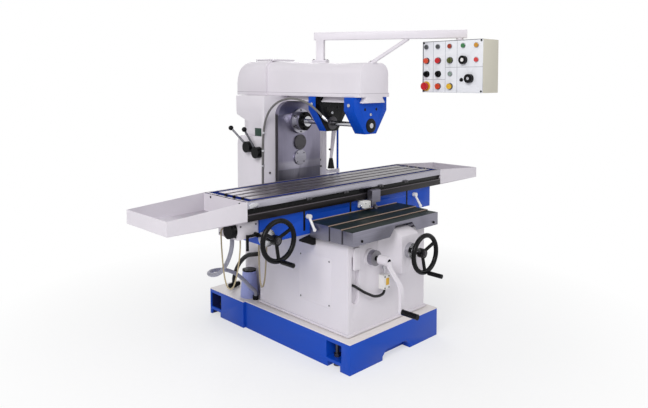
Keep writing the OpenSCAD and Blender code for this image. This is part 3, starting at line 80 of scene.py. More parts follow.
def linear(colour: Colour) -> Tuple[float, float, float, float]:
    """Turns a display colour into the linear one that a shader takes.

    Args:
        colour: red, green and blue from 0 to 255 as seen on a screen.

    Returns:
        Linear red, green, blue and an alpha of 1.
    """
    c = np.asarray(colour, float) / 255
    lin = np.where(c <= 0.04045, c / 12.92, ((c + 0.055) / 1.055) ** 2.4)
    return (*lin.tolist(), 1.0)


def shaded(colour: Colour, share: float) -> Colour:
    """Returns the colour with every channel times the share."""
    return (colour[0] * share, colour[1] * share, colour[2] * share)


# Shader maths


class Value:
    """One output socket, on which Python's operators add Math nodes."""

    def __init__(self, maker: "NodeMaker", socket: bpy.types.NodeSocket) -> None:
        """Keeps the maker that adds nodes and the socket that is wrapped."""
        self.maker = maker
        self.socket = socket

    def _math(self, operation: str, a: "Number", b: "Number" = 0.0) -> "Value":
        """Adds one Math node and returns its result."""
        return self.maker.node("ShaderNodeMath", {0: a, 1: b}, operation=operation)

    def __add__(self, other: "Number") -> "Value":
        """Sum of two values."""
        return self._math("ADD", self, other)

    def __radd__(self, other: "Number") -> "Value":
        """Sum with a number on the left."""
        return self._math("ADD", other, self)

    def __sub__(self, other: "Number") -> "Value":
        """Difference of two values."""
        return self._math("SUBTRACT", self, other)

    def __rsub__(self, other: "Number") -> "Value":
        """Difference with a number on the left."""
        return self._math("SUBTRACT", other, self)

    def __mul__(self, other: "Number") -> "Value":
        """Product of two values."""
        return self._math("MULTIPLY", self, other)

    def __rmul__(self, other: "Number") -> "Value":
        """Product with a number on the left."""
        return self._math("MULTIPLY", other, self)

    def __pow__(self, other: "Number") -> "Value":
        """Power of a value."""
        return self._math("POWER", self, other)

    def __rpow__(self, other: "Number") -> "Value":
        """Power of a number on the left."""
        return self._math("POWER", other, self)

    def highest(self, other: "Number") -> "Value":
        """The larger of two values."""
        return self._math("MAXIMUM", self, other)

    def sine(self) -> "Value":
        """Sine of the value in radians."""
        return self._math("SINE", self)

    def step(self, low: float, high: float) -> "Value":
        """Rises from 0 at low to 1 at high, and falls where low is the larger."""
        limits = {"From Min": low, "From Max": high, "To Min": 0.0, "To Max": 1.0}
        return self.maker.node("ShaderNodeMapRange", {"Value": self, **limits}, clamp=True)


Number = Union[float, Value]


class NodeMaker:
    """Adds nodes to one tree, and keeps the coordinates that many of them read."""

    def __init__(self, tree: bpy.types.NodeTree) -> None:
        """Starts with an empty tree.

        Args:
            tree: where the nodes go.
        """
        self.tree = tree
        tree.nodes.clear()
        self._place: Optional[Value] = None

    def node(
        self, kind: str, inputs: Optional[dict] = None, out: Union[int, str] = 0, **settings: object
    ) -> Value:
        """Adds one node of any type.

        Args:
            kind: the node's type name.
            inputs: values or links by socket name or number.
            out: the output that is returned.
            settings: its properties, set first.

        Returns:
            That output as a value.
        """
        made = self.tree.nodes.new(kind)
        for name, value in settings.items():
            setattr(made, name, value)
        for name, value in (inputs or {}).items():
            if isinstance(value, Value):
                self.tree.links.new(value.socket, made.inputs[name])
            else:
                made.inputs[name].default_value = value
        return Value(self, made.outputs[out] if len(made.outputs) else None)

    def place(self) -> Value:
        """The point on the piece, from one node that all share.

        Returns:
            The point in the shared frame at rest.
        """
        if self._place is None:
            self._place = self.node("ShaderNodeTexCoord", out="Object")
        return self._place

    def axis(self, name: str) -> Value:
        """One coordinate of the point, X, Y or Z, in metres."""
        return self.node("ShaderNodeSeparateXYZ", {0: self.place()}, name)

    def noise(self, scale: float, detail: float = 2.0, stretch: Optional[Point] = None) -> Value:
        """Cloudy noise about a middle of one half.

        Args:
            scale: features to the metre.
            detail: octaves of finer noise.
            stretch: scale of each axis before the noise.

        Returns:
            The noise from 0 to 1.
        """
        where = self.place()
        if stretch:
            where = self.node("ShaderNodeMapping", {"Vector": where, "Scale": stretch})
        inputs = {"Vector": where, "Scale": scale, "Detail": detail}
        return self.node("ShaderNodeTexNoise", inputs)

    def colour(self, factor: Number, a: Union[Colour, Value], b: Union[Colour, Value]) -> Value:
        """Mixes two colours, each as seen on a screen or as a value.

        Args:
            factor: 0 gives a, and 1 gives b.
            a: first colour.
            b: second colour.

        Returns:
            The mixed colour.
        """
        first, second = (c if isinstance(c, Value) else linear(c) for c in (a, b))
        return self.node("ShaderNodeMix", {0: factor, 6: first, 7: second}, 2, data_type="RGBA")


# Finishes


@dataclass
class Layer:
    """What a finish gives the shader; the relief's depth is in metres."""

    colour: Value
    roughness: Value
    metallic: Number
    relief: Value
    depth: float
    coat: float = 0.0
    shine: float = 0.25


@dataclass(frozen=True)
class Finish:
    """A surface finish; each kind works out its own layer."""

    name: str

    def layer(self, make: NodeMaker) -> Layer:
        """Works out the finish's layer in a node tree."""
        raise NotImplementedError


@dataclass(frozen=True)
class Enamel(Finish):
    """Sprayed enamel on a casting: cloudy tone, orange peel and a soft gloss."""

    colour: Colour
    roughness: float = 0.38
    mottle: float = 0.05
    cloud_per_m: float = 3.0
    peel_per_m: float = 220.0
    speck_per_m: float = 45.0
    lacquer: float = 0.04
    relief_mm: float = 0.2

    def layer(self, make: NodeMaker) -> Layer:
        """Broad noise shades the colour, and fine noise dents and dulls it.

        Args:
            make: adds the nodes.

        Returns:
            The finish's layer.
        """
        cloud = make.noise(self.cloud_per_m, 3.0)
        peel = make.noise(self.peel_per_m)
        speck = make.noise(self.speck_per_m, 4.0).step(0.62, 0.78)
        pale = make.colour(cloud, shaded(self.colour, 1 - self.mottle), self.colour)
        colour = make.colour(speck * 0.12, pale, shaded(self.colour, 0.82))
        rough = self.roughness + 0.18 * (cloud - 0.5) + 0.1 * (peel - 0.5)
        return Layer(colour, rough, 0.0, peel, self.relief_mm * MM, self.lacquer)


@dataclass(frozen=True)
class GroundSteel(Finish):
    """Machined steel with fine marks along one axis and soft smudges."""

    colour: Colour
    stretch: Point
    roughness: float = 0.3
    contrast: float = 0.22
    smudge_per_m: float = 7.0
    relief_mm: float = 0.06

    def layer(self, make: NodeMaker) -> Layer:
        """Noise stretched along the tool's path gives the marks, and broad noise the smudges.

        Args:
            make: adds the nodes.

        Returns:
            The finish's layer.
        """
        marks = make.noise(1.0, 3.0, self.stretch)
        smudge = make.noise(self.smudge_per_m, 3.0)
        colour = make.colour(marks, shaded(self.colour, 1 - self.contrast), self.colour)
        worn = make.colour(smudge.step(0.5, 0.75) * 0.35, colour, shaded(self.colour, 0.72))
        rough = self.roughness + 0.22 * (marks - 0.5) + 0.16 * (smudge - 0.5)
        return Layer(worn, rough, 1.0, marks, self.relief_mm * MM)


@dataclass(frozen=True)
class Plated(Finish):
    """Plated or polished metal with faint handling marks."""

    colour: Colour
    roughness: float
    haze_per_m: float = 60.0
    mark_per_m: float = 500.0
    relief_mm: float = 0.02

    def layer(self, make: NodeMaker) -> Layer:
        """Fine noise clouds the polish.

        Args:
            make: adds the nodes.

        Returns:
            The finish's layer.
        """
        haze = make.noise(self.haze_per_m, 3.0)
        marks = make.noise(self.mark_per_m, 1.0)
        colour = make.colour(haze, shaded(self.colour, 0.9), self.colour)
        rough = self.roughness + 0.14 * (haze - 0.4)
        return Layer(colour, rough, 1.0, marks, self.relief_mm * MM)


@dataclass(frozen=True)
class Moulded(Finish):
    """Moulded plastic or rubber with a fine grain."""

    colour: Colour
    roughness: float = 0.3
    grain_per_m: float = 900.0
    dust_per_m: float = 25.0
    lacquer: float = 0.0
    gloss: float = 0.25
    relief_mm: float = 0.1

    def layer(self, make: NodeMaker) -> Layer:
        """Fine grain dents the skin, and broad noise carries dust and wear.

        Args:
            make: adds the nodes.

        Returns:
            The finish's layer.
        """
        grain = make.noise(self.grain_per_m, 1.0)
        dust = make.noise(self.dust_per_m, 4.0)
        paler = tuple(min(255.0, c * 1.12 + 3) for c in self.colour)
        colour = make.colour(dust.step(0.45, 0.8) * 0.4, self.colour, paler)
        rough = self.roughness + 0.2 * (dust - 0.5)
        return Layer(colour, rough, 0.0, grain, self.relief_mm * MM, self.lacquer, self.gloss)


@dataclass(frozen=True)
class HoseSkin(Finish):
    """Hose or cable skin with fine rings that follow its own length."""

    colour: Colour
    rings_per_m: float
    roughness: float = 0.45
    ring_shade: float = 0.12
    dust_per_m: float = 18.0
    relief_mm: float = 0.2

    def layer(self, make: NodeMaker) -> Layer:
        """A wave along the hose's length dents the skin between rings and darkens it there: painted
        shade in the grooves.

        Args:
            make: adds the nodes.

        Returns:
            The finish's layer.
        """
        length = make.node("ShaderNodeSeparateXYZ", {0: make.node("ShaderNodeUVMap")}, "Y")
        ring = (length * (self.rings_per_m * math.tau)).sine() * 0.5 + 0.5
        dust = make.noise(self.dust_per_m, 3.0)
        # The darkening between rings is painted shade.
        colour = make.colour(ring * self.ring_shade, self.colour, shaded(self.colour, 0.55))
        worn = make.colour(dust.step(0.5, 0.8) * 0.3, colour, shaded(self.colour, 0.8))
        rough = self.roughness + 0.2 * (dust - 0.5)
        return Layer(worn, rough, 0.0, 1 - ring, self.relief_mm * MM)


class Zone:
    """A region of a piece, given as a mask from its coordinates."""

    def mask(self, make: NodeMaker) -> Value:
        """1 inside the region and 0 outside."""
        raise NotImplementedError


@dataclass(frozen=True)
class BoxZone(Zone):
    """The points inside a box; a side that is None has no limit. Metres."""

    x: Span = (None, None)
    y: Span = (None, None)
    z: Span = (None, None)
    edge: float = 0.0004

    def mask(self, make: NodeMaker) -> Value:
        """Product of one step at each limited side.

        Args:
            make: adds the nodes.

        Returns:
            1 inside the region and 0 outside.
        """
        steps: List[Value] = []
        for name, (low, high) in zip("XYZ", (self.x, self.y, self.z)):
            if low is not None:
                steps.append(make.axis(name).step(low - self.edge, low + self.edge))
            if high is not None:
                steps.append(make.axis(name).step(high + self.edge, high - self.edge))
        return math.prod(steps[1:], start=steps[0])


@dataclass(frozen=True)
class RoundZone(Zone):
    """The points within a radius of a centre, or of a line through it. Metres."""

    centre: Point
    radius: float
    axes: str = "XYZ"
    edge: float = 0.0004

    def mask(self, make: NodeMaker) -> Value:
        """A step on the distance, summed over the named axes only.

        Args:
            make: adds the nodes.

        Returns:
            1 inside the region and 0 outside.
        """
        middles = dict(zip("XYZ", self.centre))
        parts = [(make.axis(name) - middles[name]) ** 2.0 for name in self.axes]
        away = sum(parts[1:], parts[0]) ** 0.5
        return away.step(self.radius + self.edge, self.radius - self.edge)


@dataclass(frozen=True)
class SharedZone(Zone):
    """The points that lie in two zones at once."""

    first: Zone
    second: Zone

    def mask(self, make: NodeMaker) -> Value:
        """Product of the two masks."""
        return self.first.mask(make) * self.second.mask(make)


Overlay = Tuple[Zone, Finish]


@dataclass(frozen=True)
class Zoned(Finish):
    """One finish over the whole piece, with others laid over it zone by zone."""

    under: Finish
    over: Tuple[Overlay, ...]

    def layer(self, make: NodeMaker) -> Layer:
        """Mixes each zone's layer over what is below it by the zone's mask.

        The coat stays that of the finish below. Of the shines and depths the
        lowest counts, so that dark zones stay dark and smooth ones smooth.

        Args:
            make: adds the nodes.

        Returns:
            The finish's layer.
        """
        made = self.under.layer(make)
        for zone, finish in self.over:
            mask, top = zone.mask(make), finish.layer(make)
            rest = 1 - mask
            metallic = made.metallic
            if metallic != top.metallic:
                metallic = metallic * rest + top.metallic * mask
            made = Layer(
                make.colour(mask, made.colour, top.colour),
                made.roughness * rest + top.roughness * mask,
                metallic,
                made.relief * rest + top.relief * mask,
                min(made.depth, top.depth),
                made.coat,
                min(made.shine, top.shine),
            )
        return made


@dataclass
class Paintshop:
    """Makes each finish's material once and puts it on pieces."""

    coat_roughness: float = 0.12
    smooth_deg: float = 32.0
    bevel_deg: float = 40.0
    flat_deg: float = 0.4
    _made: Dict[str, bpy.types.Material] = field(default_factory=dict)

    def __post_init__(self) -> None:
        """Makes the shading group for CAD pieces."""
        self._shading = self._shade_by_angle(math.radians(self.smooth_deg))

    def material(self, finish: Finish) -> bpy.types.Material:
        """Returns the finish's material, made on first use.

        Args:
            finish: what the surface is.

        Returns:
            The material with its node tree.
        """
        if finish.name not in self._made:
            material = bpy.data.materials.new(finish.name)
            material.use_nodes = True
            make = NodeMaker(material.node_tree)
            layer = finish.layer(make)
            relief = {"Height": layer.relief, "Distance": layer.depth, "Strength": 1.0}
            surface = {
                "Base Color": layer.colour,
                "Roughness": layer.roughness,
                "Metallic": layer.metallic,
                "Coat Weight": layer.coat,
                "Coat Roughness": self.coat_roughness,
                "Specular IOR Level": layer.shine,
                "Normal": make.node("ShaderNodeBump", relief),
            }
            shader = make.node("ShaderNodeBsdfPrincipled", surface)
            make.node("ShaderNodeOutputMaterial", {"Surface": shader})
            self._made[finish.name] = material
        return self._made[finish.name]

    def coat(self, piece: bpy.types.Object, finish: Finish) -> None:
        """Puts a finish on the whole piece.

        Args:
            piece: what is finished.
            finish: its finish.
        """
        piece.data.materials.clear()
        piece.data.materials.append(self.material(finish))
        log.info("piece %s in %s", piece.name, finish.name)

    def dress(self, node: str, finish: Finish, edge_mm: float = 0.0) -> None:
        """Finishes a CAD node that stays in view: material, soft edges and smooth curves.

        Args:
            node: the CAD node's name.
            finish: its finish.
            edge_mm: radius of the softened edges, or 0 for none.
        """
        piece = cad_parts[node]
        self.coat(piece, finish)
        weld = piece.modifiers.new("weld", "WELD")
        weld.merge_threshold = MERGE_GAP
        if edge_mm:
            flat = piece.modifiers.new("flat", "DECIMATE")
            flat.decimate_type = "DISSOLVE"
            flat.angle_limit = math.radians(self.flat_deg)
            bevel = piece.modifiers.new("edge", "BEVEL")
            bevel.width = edge_mm * MM
            bevel.segments = 2
            bevel.limit_method = "ANGLE"
            bevel.angle_limit = math.radians(self.bevel_deg)
            bevel.use_clamp_overlap = False
        shade = piece.modifiers.new("shade", "NODES")
        shade.node_group = self._shading

    @staticmethod
    def _shade_by_angle(angle: float) -> bpy.types.NodeTree:
        """Makes the group that shades faces smooth across edges below an angle.

        Args:
            angle: largest bend of a smooth edge, in radians.

        Returns:
            The group for a Nodes modifier.
        """
        tree = bpy.data.node_groups.new("smooth_by_angle", "GeometryNodeTree")
        for way in ("INPUT", "OUTPUT"):
            tree.interface.new_socket("Geometry", in_out=way, socket_type="NodeSocketGeometry")
        make = NodeMaker(tree)
        bend = {"A": make.node("GeometryNodeInputMeshEdgeAngle"), "B": angle}
        gentle = make.node(
            "FunctionNodeCompare", bend, data_type="FLOAT", operation="LESS_EQUAL"
        )
        shape = make.node("NodeGroupInput")
        for domain, smooth in (("FACE", True), ("EDGE", gentle)):
            inputs = {"Geometry": shape, "Shade Smooth": smooth}
            shape = make.node("GeometryNodeSetShadeSmooth", inputs, domain=domain)
        make.node("NodeGroupOutput", {"Geometry": shape})
        return tree


# Surfaces


class Facing(Enum):
    """Side that a shape looks to, as the directions of its width and height."""

    FRONT = ((1, 0, 0), (0, 0, 1))
    LEFT = ((0, -1, 0), (0, 0, 1))
    RIGHT = ((0, 1, 0), (0, 0, 1))
    BACK = ((-1, 0, 0), (0, 0, 1))
    TOP = ((1, 0, 0), (0, 1, 0))

    def axes(self) -> np.ndarray:
        """Directions of the width, of the height and outwards, one to a row."""
        return np.array([*self.value, np.cross(*self.value)], float)


def ring_faces(rows: int, columns: int) -> np.ndarray:
    """Quads between closed rings of points that follow one another.

    Args:
        rows: number of rings.
        columns: points in each ring.

    Returns:
        An array of four point numbers to a face.
    """
    i, j = np.meshgrid(np.arange(rows - 1), np.arange(columns), indexing="ij")
    low, high, k = i * columns, (i + 1) * columns, (j + 1) % columns
    return np.stack([low + j, low + k, high + k, high + j], -1).reshape(-1, 4)


def raw_mesh(
    name: str, points: np.ndarray, faces: List[Sequence[int]], smooth_deg: float = 35.0
) -> bpy.types.Object:
    """Makes a piece from points and faces, merged and with its faces outwards.

    Args:
        name: the piece's name.
        points: an array of points in metres.
        faces: point numbers of each face.
        smooth_deg: edges that bend more than this stay sharp.

    Returns:
        The piece at the origin, with its place in its mesh.
    """
    mesh = bpy.data.meshes.new(name)
    mesh.from_pydata(points.tolist(), [], faces)
    work = bmesh.new()
    work.from_mesh(mesh)
    bmesh.ops.remove_doubles(work, verts=work.verts, dist=MERGE_GAP)
    bmesh.ops.dissolve_degenerate(work, edges=work.edges, dist=0.1 * MERGE_GAP)
    bmesh.ops.recalc_face_normals(work, faces=work.faces)
    for face in work.faces:
        face.smooth = True
    limit = math.radians(smooth_deg)
    for edge in work.edges:
        edge.smooth = len(edge.link_faces) == 2 and edge.calc_face_angle(0) < limit
    work.to_mesh(mesh)
    work.free()
    piece = bpy.data.objects.new(name, mesh)
    bpy.context.scene.collection.objects.link(piece)
    return piece


def mesh_points(mesh: bpy.types.Mesh) -> np.ndarray:
    """Reads a mesh's points.

    Args:
        mesh: the mesh.

    Returns:
        One row of three numbers to a point.
    """
    points = np.empty(len(mesh.vertices) * 3)
    mesh.vertices.foreach_get("co", points)
    return points.reshape(-1, 3)


def circle(sides: int) -> np.ndarray:
    """Cosine and sine of evenly spaced turns, one pair to a row."""
    turn = np.linspace(0, math.tau, sides, endpoint=False)
    return np.stack([np.cos(turn), np.sin(turn)], -1)


def lengths_along(path: np.ndarray) -> np.ndarray:
    """Distance from a path's start to each of its points."""
    return np.concatenate([[0], np.cumsum(np.linalg.norm(np.diff(path, axis=0), axis=1))])


def smooth_path(points: np.ndarray, count: int, samples: int = 24) -> np.ndarray:
    """Evenly spaced points on a smooth curve through the given ones.

    Each span is a Catmull-Rom cubic of its four nearest points, sampled closely
    and then read off again at equal lengths.

    Args:
        points: the points that the curve passes through.
        count: points on the new path.
        samples: points on each span before they are evened out.

    Returns:
        The new path.
    """
    ends = np.concatenate([[2 * points[0] - points[1]], points, [2 * points[-1] - points[-2]]])
    t = np.linspace(0, 1, samples, endpoint=False)[:, None, None]
    p0, p1, p2, p3 = ends[:-3], ends[1:-2], ends[2:-1], ends[3:]
    bend, twist = 2 * p0 - 5 * p1 + 4 * p2 - p3, 3 * p1 - p0 - 3 * p2 + p3
    cubic = 0.5 * (2 * p1 + (p2 - p0) * t + bend * t**2 + twist * t**3)
    dense = np.concatenate([cubic.transpose(1, 0, 2).reshape(-1, 3), points[-1:]])
    along = lengths_along(dense)
    even = np.linspace(0, along[-1], count)
    return np.stack([np.interp(even, along, dense[:, k]) for k in range(3)], -1)


def tube_rings(path: np.ndarray, radius: float, sides: int) -> np.ndarray:
    """Circles of a radius carried along a path with no sudden twist.

    Each circle's first direction is the one before it, less its part along the
    new tangent, and the second is square to it and to the tangent.

    Args:
        path: points of the path.
        radius: radius of the circles.
        sides: points in each circle.

    Returns:
        Rings of points.
    """
    tangents = np.gradient(path, axis=0)
    tangents /= np.linalg.norm(tangents, axis=1, keepdims=True)
    helper = np.eye(3)[np.argmin(np.abs(tangents[0]))]
    normal = np.cross(tangents[0], helper)
    normals = []
    for tangent in tangents:
        normal = normal - tangent * (normal @ tangent)
        normal = normal / np.linalg.norm(normal)
        normals.append(normal)
    frames = np.stack([normals, np.cross(tangents, normals)], 1)
    return path[:, None] + radius * np.einsum("sa,pad->psd", circle(sides), frames)


def rounded_outline(width: float, height: float, corner: float, steps: int = 6) -> np.ndarray:
    """Outline of a rectangle with round corners, about its middle.

    Args:
        width: size along the first direction.
        height: size along the second.
        corner: corner radius.
        steps: points on each corner.

    Returns:
        Points in two coordinates.
    """
    bend = np.linspace(0, math.pi / 2, steps)
    middle = np.array([width / 2 - corner, height / 2 - corner])
    parts = []
    for quarter, side in enumerate(((1, 1), (-1, 1), (-1, -1), (1, -1))):
        turn = bend + quarter * math.pi / 2
        parts.append(corner * np.stack([np.cos(turn), np.sin(turn)], -1) + middle * side)
    return np.concatenate(parts)


class PieceMaker:
    """Gathers stacks of rings into one piece; each method returns the maker for the next."""

    soft_edge_mm = 0.6
    least_corner_mm = 0.2

    def __init__(self, name: str) -> None:
        """Starts a piece with no rings.

        Args:
            name: the piece's name.
        """
        self.name = name
        self._points: List[np.ndarray] = []
        self._faces: List[Sequence[int]] = []
        self._count = 0

    def add(self, rings: np.ndarray, capped: bool = True) -> "PieceMaker":
        """Joins one stack of rings, ring to ring.

        Args:
            rings: points of each closed ring, as (ring, point, 3).
            capped: whether the first and last ring are closed with a face.

        Returns:
            The maker.
        """
        rows, columns = rings.shape[:2]
        self._faces += (ring_faces(rows, columns) + self._count).tolist()
        if capped:
            foot, head = self._count, self._count + (rows - 1) * columns
            self._faces.append(list(range(foot, foot + columns))[::-1])
            self._faces.append(list(range(head, head + columns)))
        self._points.append(rings.reshape(-1, 3))
        self._count += rows * columns
        return self

    def plates(
        self,
        feet_mm: Sequence[Point],
        facing: Facing,
        size_mm: Pair,
        thick_mm: float,
        corner_mm: float,
    ) -> "PieceMaker":
        """Adds a plate with round corners and softened edges on a face at each place.

        Its rounded outline rises straight, then turns in over the softened edge.

        Args:
            feet_mm: middles of the plates' feet.
            facing: side that they look to.
            size_mm: width and height.
            thick_mm: how far they stand off the face.
            corner_mm: corner radius.

        Returns:
            The maker.
        """
        axes, edge = facing.axes(), min(self.soft_edge_mm, 0.4 * thick_mm)
        bend = (0.4 * edge, thick_mm - 0.3 * edge)
        rings = []
        for inset, rise in ((0.0, 0.0), (0.0, thick_mm - edge), bend, (edge, thick_mm)):
            wide, tall = (side - 2 * inset for side in size_mm)
            outline = rounded_outline(wide, tall, max(corner_mm - inset, self.least_corner_mm))
            rings.append(outline @ axes[:2] + rise * axes[2])
        for foot in feet_mm:
            self.add((np.array(rings) + np.array(foot)) * MM)
        return self

    def turned(
        self,
        feet_mm: Sequence[Point],
        facing: Facing,
        profile_mm: Profile,
        sides: int = 24,
        capped: bool = True,
    ) -> "PieceMaker":
        """Adds a profile turned round a side's outward direction at each place.

        Args:
            feet_mm: feet of the axes.
            facing: side that the axes point to.
            profile_mm: radius and height of each ring, from the foot up.
            sides: points in each ring.
            capped: whether the ends are closed.

        Returns:
            The maker.
        """
        axes, outline = facing.axes(), np.array(profile_mm, float)
        spokes = circle(sides) @ axes[:2]
        rings = outline[:, :1, None] * spokes + outline[:, 1:, None] * axes[2]
        for foot in feet_mm:
            self.add((rings + np.array(foot)) * MM, capped)
        return self

    def bolts(
        self, feet_mm: Sequence[Point], facing: Facing, radius_mm: float, high_mm: float
    ) -> "PieceMaker":
        """Adds a socket-head bolt at each place: a chamfered head with a round socket.

        Args:
            feet_mm: feet of the heads, on the face.
            facing: side that they look to.
            radius_mm: radius of a head.
            high_mm: height of a head.

        Returns:
            The maker.
        """
        r, h = radius_mm, high_mm
        head = ((r, 0), (r, 0.8 * h), (0.88 * r, h), (0.52 * r, h), (0.46 * r, 0.4 * h))
        return self.turned(feet_mm, facing, head, 16)

    def mesh(self) -> bpy.types.Object:
        """Makes the piece from what was gathered."""
        return raw_mesh(self.name, np.concatenate(self._points), self._faces)


Numbers = Union[float, Sequence[float]]


def spots(x: Numbers, y: Numbers, z: Numbers) -> List[Point]:
    """Every point whose coordinates are among those given, each a number or several."""
    return list(itertools.product(*(np.atleast_1d(values).tolist() for values in (x, y, z))))


def bolt_circle(centre_mm: Point, radius_mm: float, count: int) -> List[Point]:
    """Places evenly round an upright circle that looks to the front, from half a step on.

    Args:
        centre_mm: the circle's middle.
        radius_mm: its radius.
        count: number of places.

    Returns:
        The places.
    """
    turn = (np.arange(count) + 0.5) * math.tau / count
    across, up, _ = Facing.FRONT.axes() * radius_mm
    ring = np.cos(turn)[:, None] * across + np.sin(turn)[:, None] * up
    return (ring + np.array(centre_mm)).tolist()


# Finishes of this machine


class Stock:
    """The finishes that several pieces share."""

    steel = (186, 184, 196)
    white = Enamel("white_enamel", (226, 221, 228))
    cream = Enamel("cream_enamel", (232, 226, 224))
    blue = Enamel("blue_enamel", (6, 75, 192), roughness=0.42, mottle=0.1)
    gutter = Enamel("gutter_enamel", (16, 44, 130), roughness=0.35, mottle=0.2)
    panel = Enamel("panel_face", (232, 233, 238), roughness=0.45, mottle=0.02)
    plate_green = Enamel("plate_green", (38, 64, 54), roughness=0.35)
    lavender = Enamel("lavender_enamel", (172, 180, 236), roughness=0.45, mottle=0.12)
    beige = Enamel("beige_enamel", (206, 202, 188), roughness=0.5)
    # Greys for the trays' floor and inner walls: painted shade inside the trays.
    tray_floor = Enamel("tray_floor", (186, 180, 189), roughness=0.5, mottle=0.1)
    tray_inside_shade = Enamel("tray_inside_shade", (210, 205, 213), roughness=0.5, mottle=0.06)
    # Dark blue for the insides of the base's rear windows: painted shade in the recess.
    window_shade = Enamel("window_shade", (20, 30, 86), roughness=0.6, mottle=0.2)
    ground_x = GroundSteel("ground_along_x", steel, (6, 420, 420))
    ground_y = GroundSteel("ground_along_y", steel, (420, 6, 420))
    dark_steel = GroundSteel("dark_steel", (92, 90, 94), (40, 40, 200), roughness=0.42)
    cover = GroundSteel("cover_sheet", (150, 148, 162), (5, 160, 300), roughness=0.4)
    slideway = GroundSteel("slideway", (150, 146, 166), (420, 420, 6), roughness=0.36)
    # Darker steel for the lower slideway: painted reflection.
    lower_way_reflection = GroundSteel("lower_way_reflection", (128, 126, 138), (420, 420, 6), roughness=0.4)
    table_iron = GroundSteel("table_iron", (112, 106, 113), (6, 420, 420), roughness=0.34)
    # Near-black iron for the table's T-slots and its set-back lower front: painted shade in the
    # recesses.
    iron_shade = GroundSteel("shaded_iron", (52, 49, 50), (9, 300, 300), roughness=0.42)
    bright = Plated("bright_steel", (205, 205, 210), 0.2)
    bezel = Plated("bezel_metal", (104, 104, 110), 0.25)
    # Dark green with almost no gloss for the cover plates' tops: the plates' dark reflection is
    # painted into the colour.
    cover_top = Moulded("cover_top", (26, 36, 34), 0.38, grain_per_m=300, gloss=0.05)
    wiper = Moulded("wiper_felt", (176, 152, 138), 0.6, grain_per_m=600)
    black = Moulded("black_plastic", (14, 14, 16), 0.26, lacquer=0.03, gloss=0.12)
    rubber = Moulded("black_rubber", (20, 20, 22), 0.6, gloss=0.15)
    red = Moulded("red_plastic", (190, 34, 40), lacquer=0.1)
    orange = Moulded("orange_plastic", (206, 72, 44), lacquer=0.1)
    olive = Moulded("olive_plastic", (84, 92, 48), lacquer=0.1)
    yellow = Moulded("yellow_plastic", (214, 168, 44), 0.35, lacquer=0.1)
    line = Moulded("panel_line", (150, 150, 158), 0.5)
    border = Moulded("panel_border", (84, 84, 92), 0.5)
    white_plastic = Moulded("white_plastic", (228, 226, 224), 0.4)
    grey_hose = HoseSkin("grey_hose", (158, 158, 172), 160)
    steel_hose = HoseSkin("steel_hose", (120, 118, 118), 220, roughness=0.35, ring_shade=0.5)
    black_hose = HoseSkin("black_hose", (22, 22, 24), 300)
    tan_tube = HoseSkin("tan_tube", (176, 162, 132), 90, roughness=0.35, ring_shade=0.03)
    cable = HoseSkin("black_cable", (20, 20, 22), 420, ring_shade=0.05)


class Trim(Enum):
    """A fitting's finish, with the record's slot that it belongs to."""

    WHITE = (Stock.white, "white_paint")
    BLUE = (Stock.blue, "blue_paint")
    BEIGE = (Stock.beige, "lilac_paint")
    GREEN = (Stock.plate_green, "green_plastic")
    YELLOW = (Stock.yellow, "yellow_plastic")
    BLACK = (Stock.black, "black_plastic")
    RUBBER = (Stock.rubber, "black_plastic")
    PALE = (Stock.white_plastic, "white_paint")
    DARK = (Stock.dark_steel, "dark_iron")
    BRIGHT = (Stock.bright, "bright_steel")
    WIPER = (Stock.wiper, "brass")


# Camera, light and floor


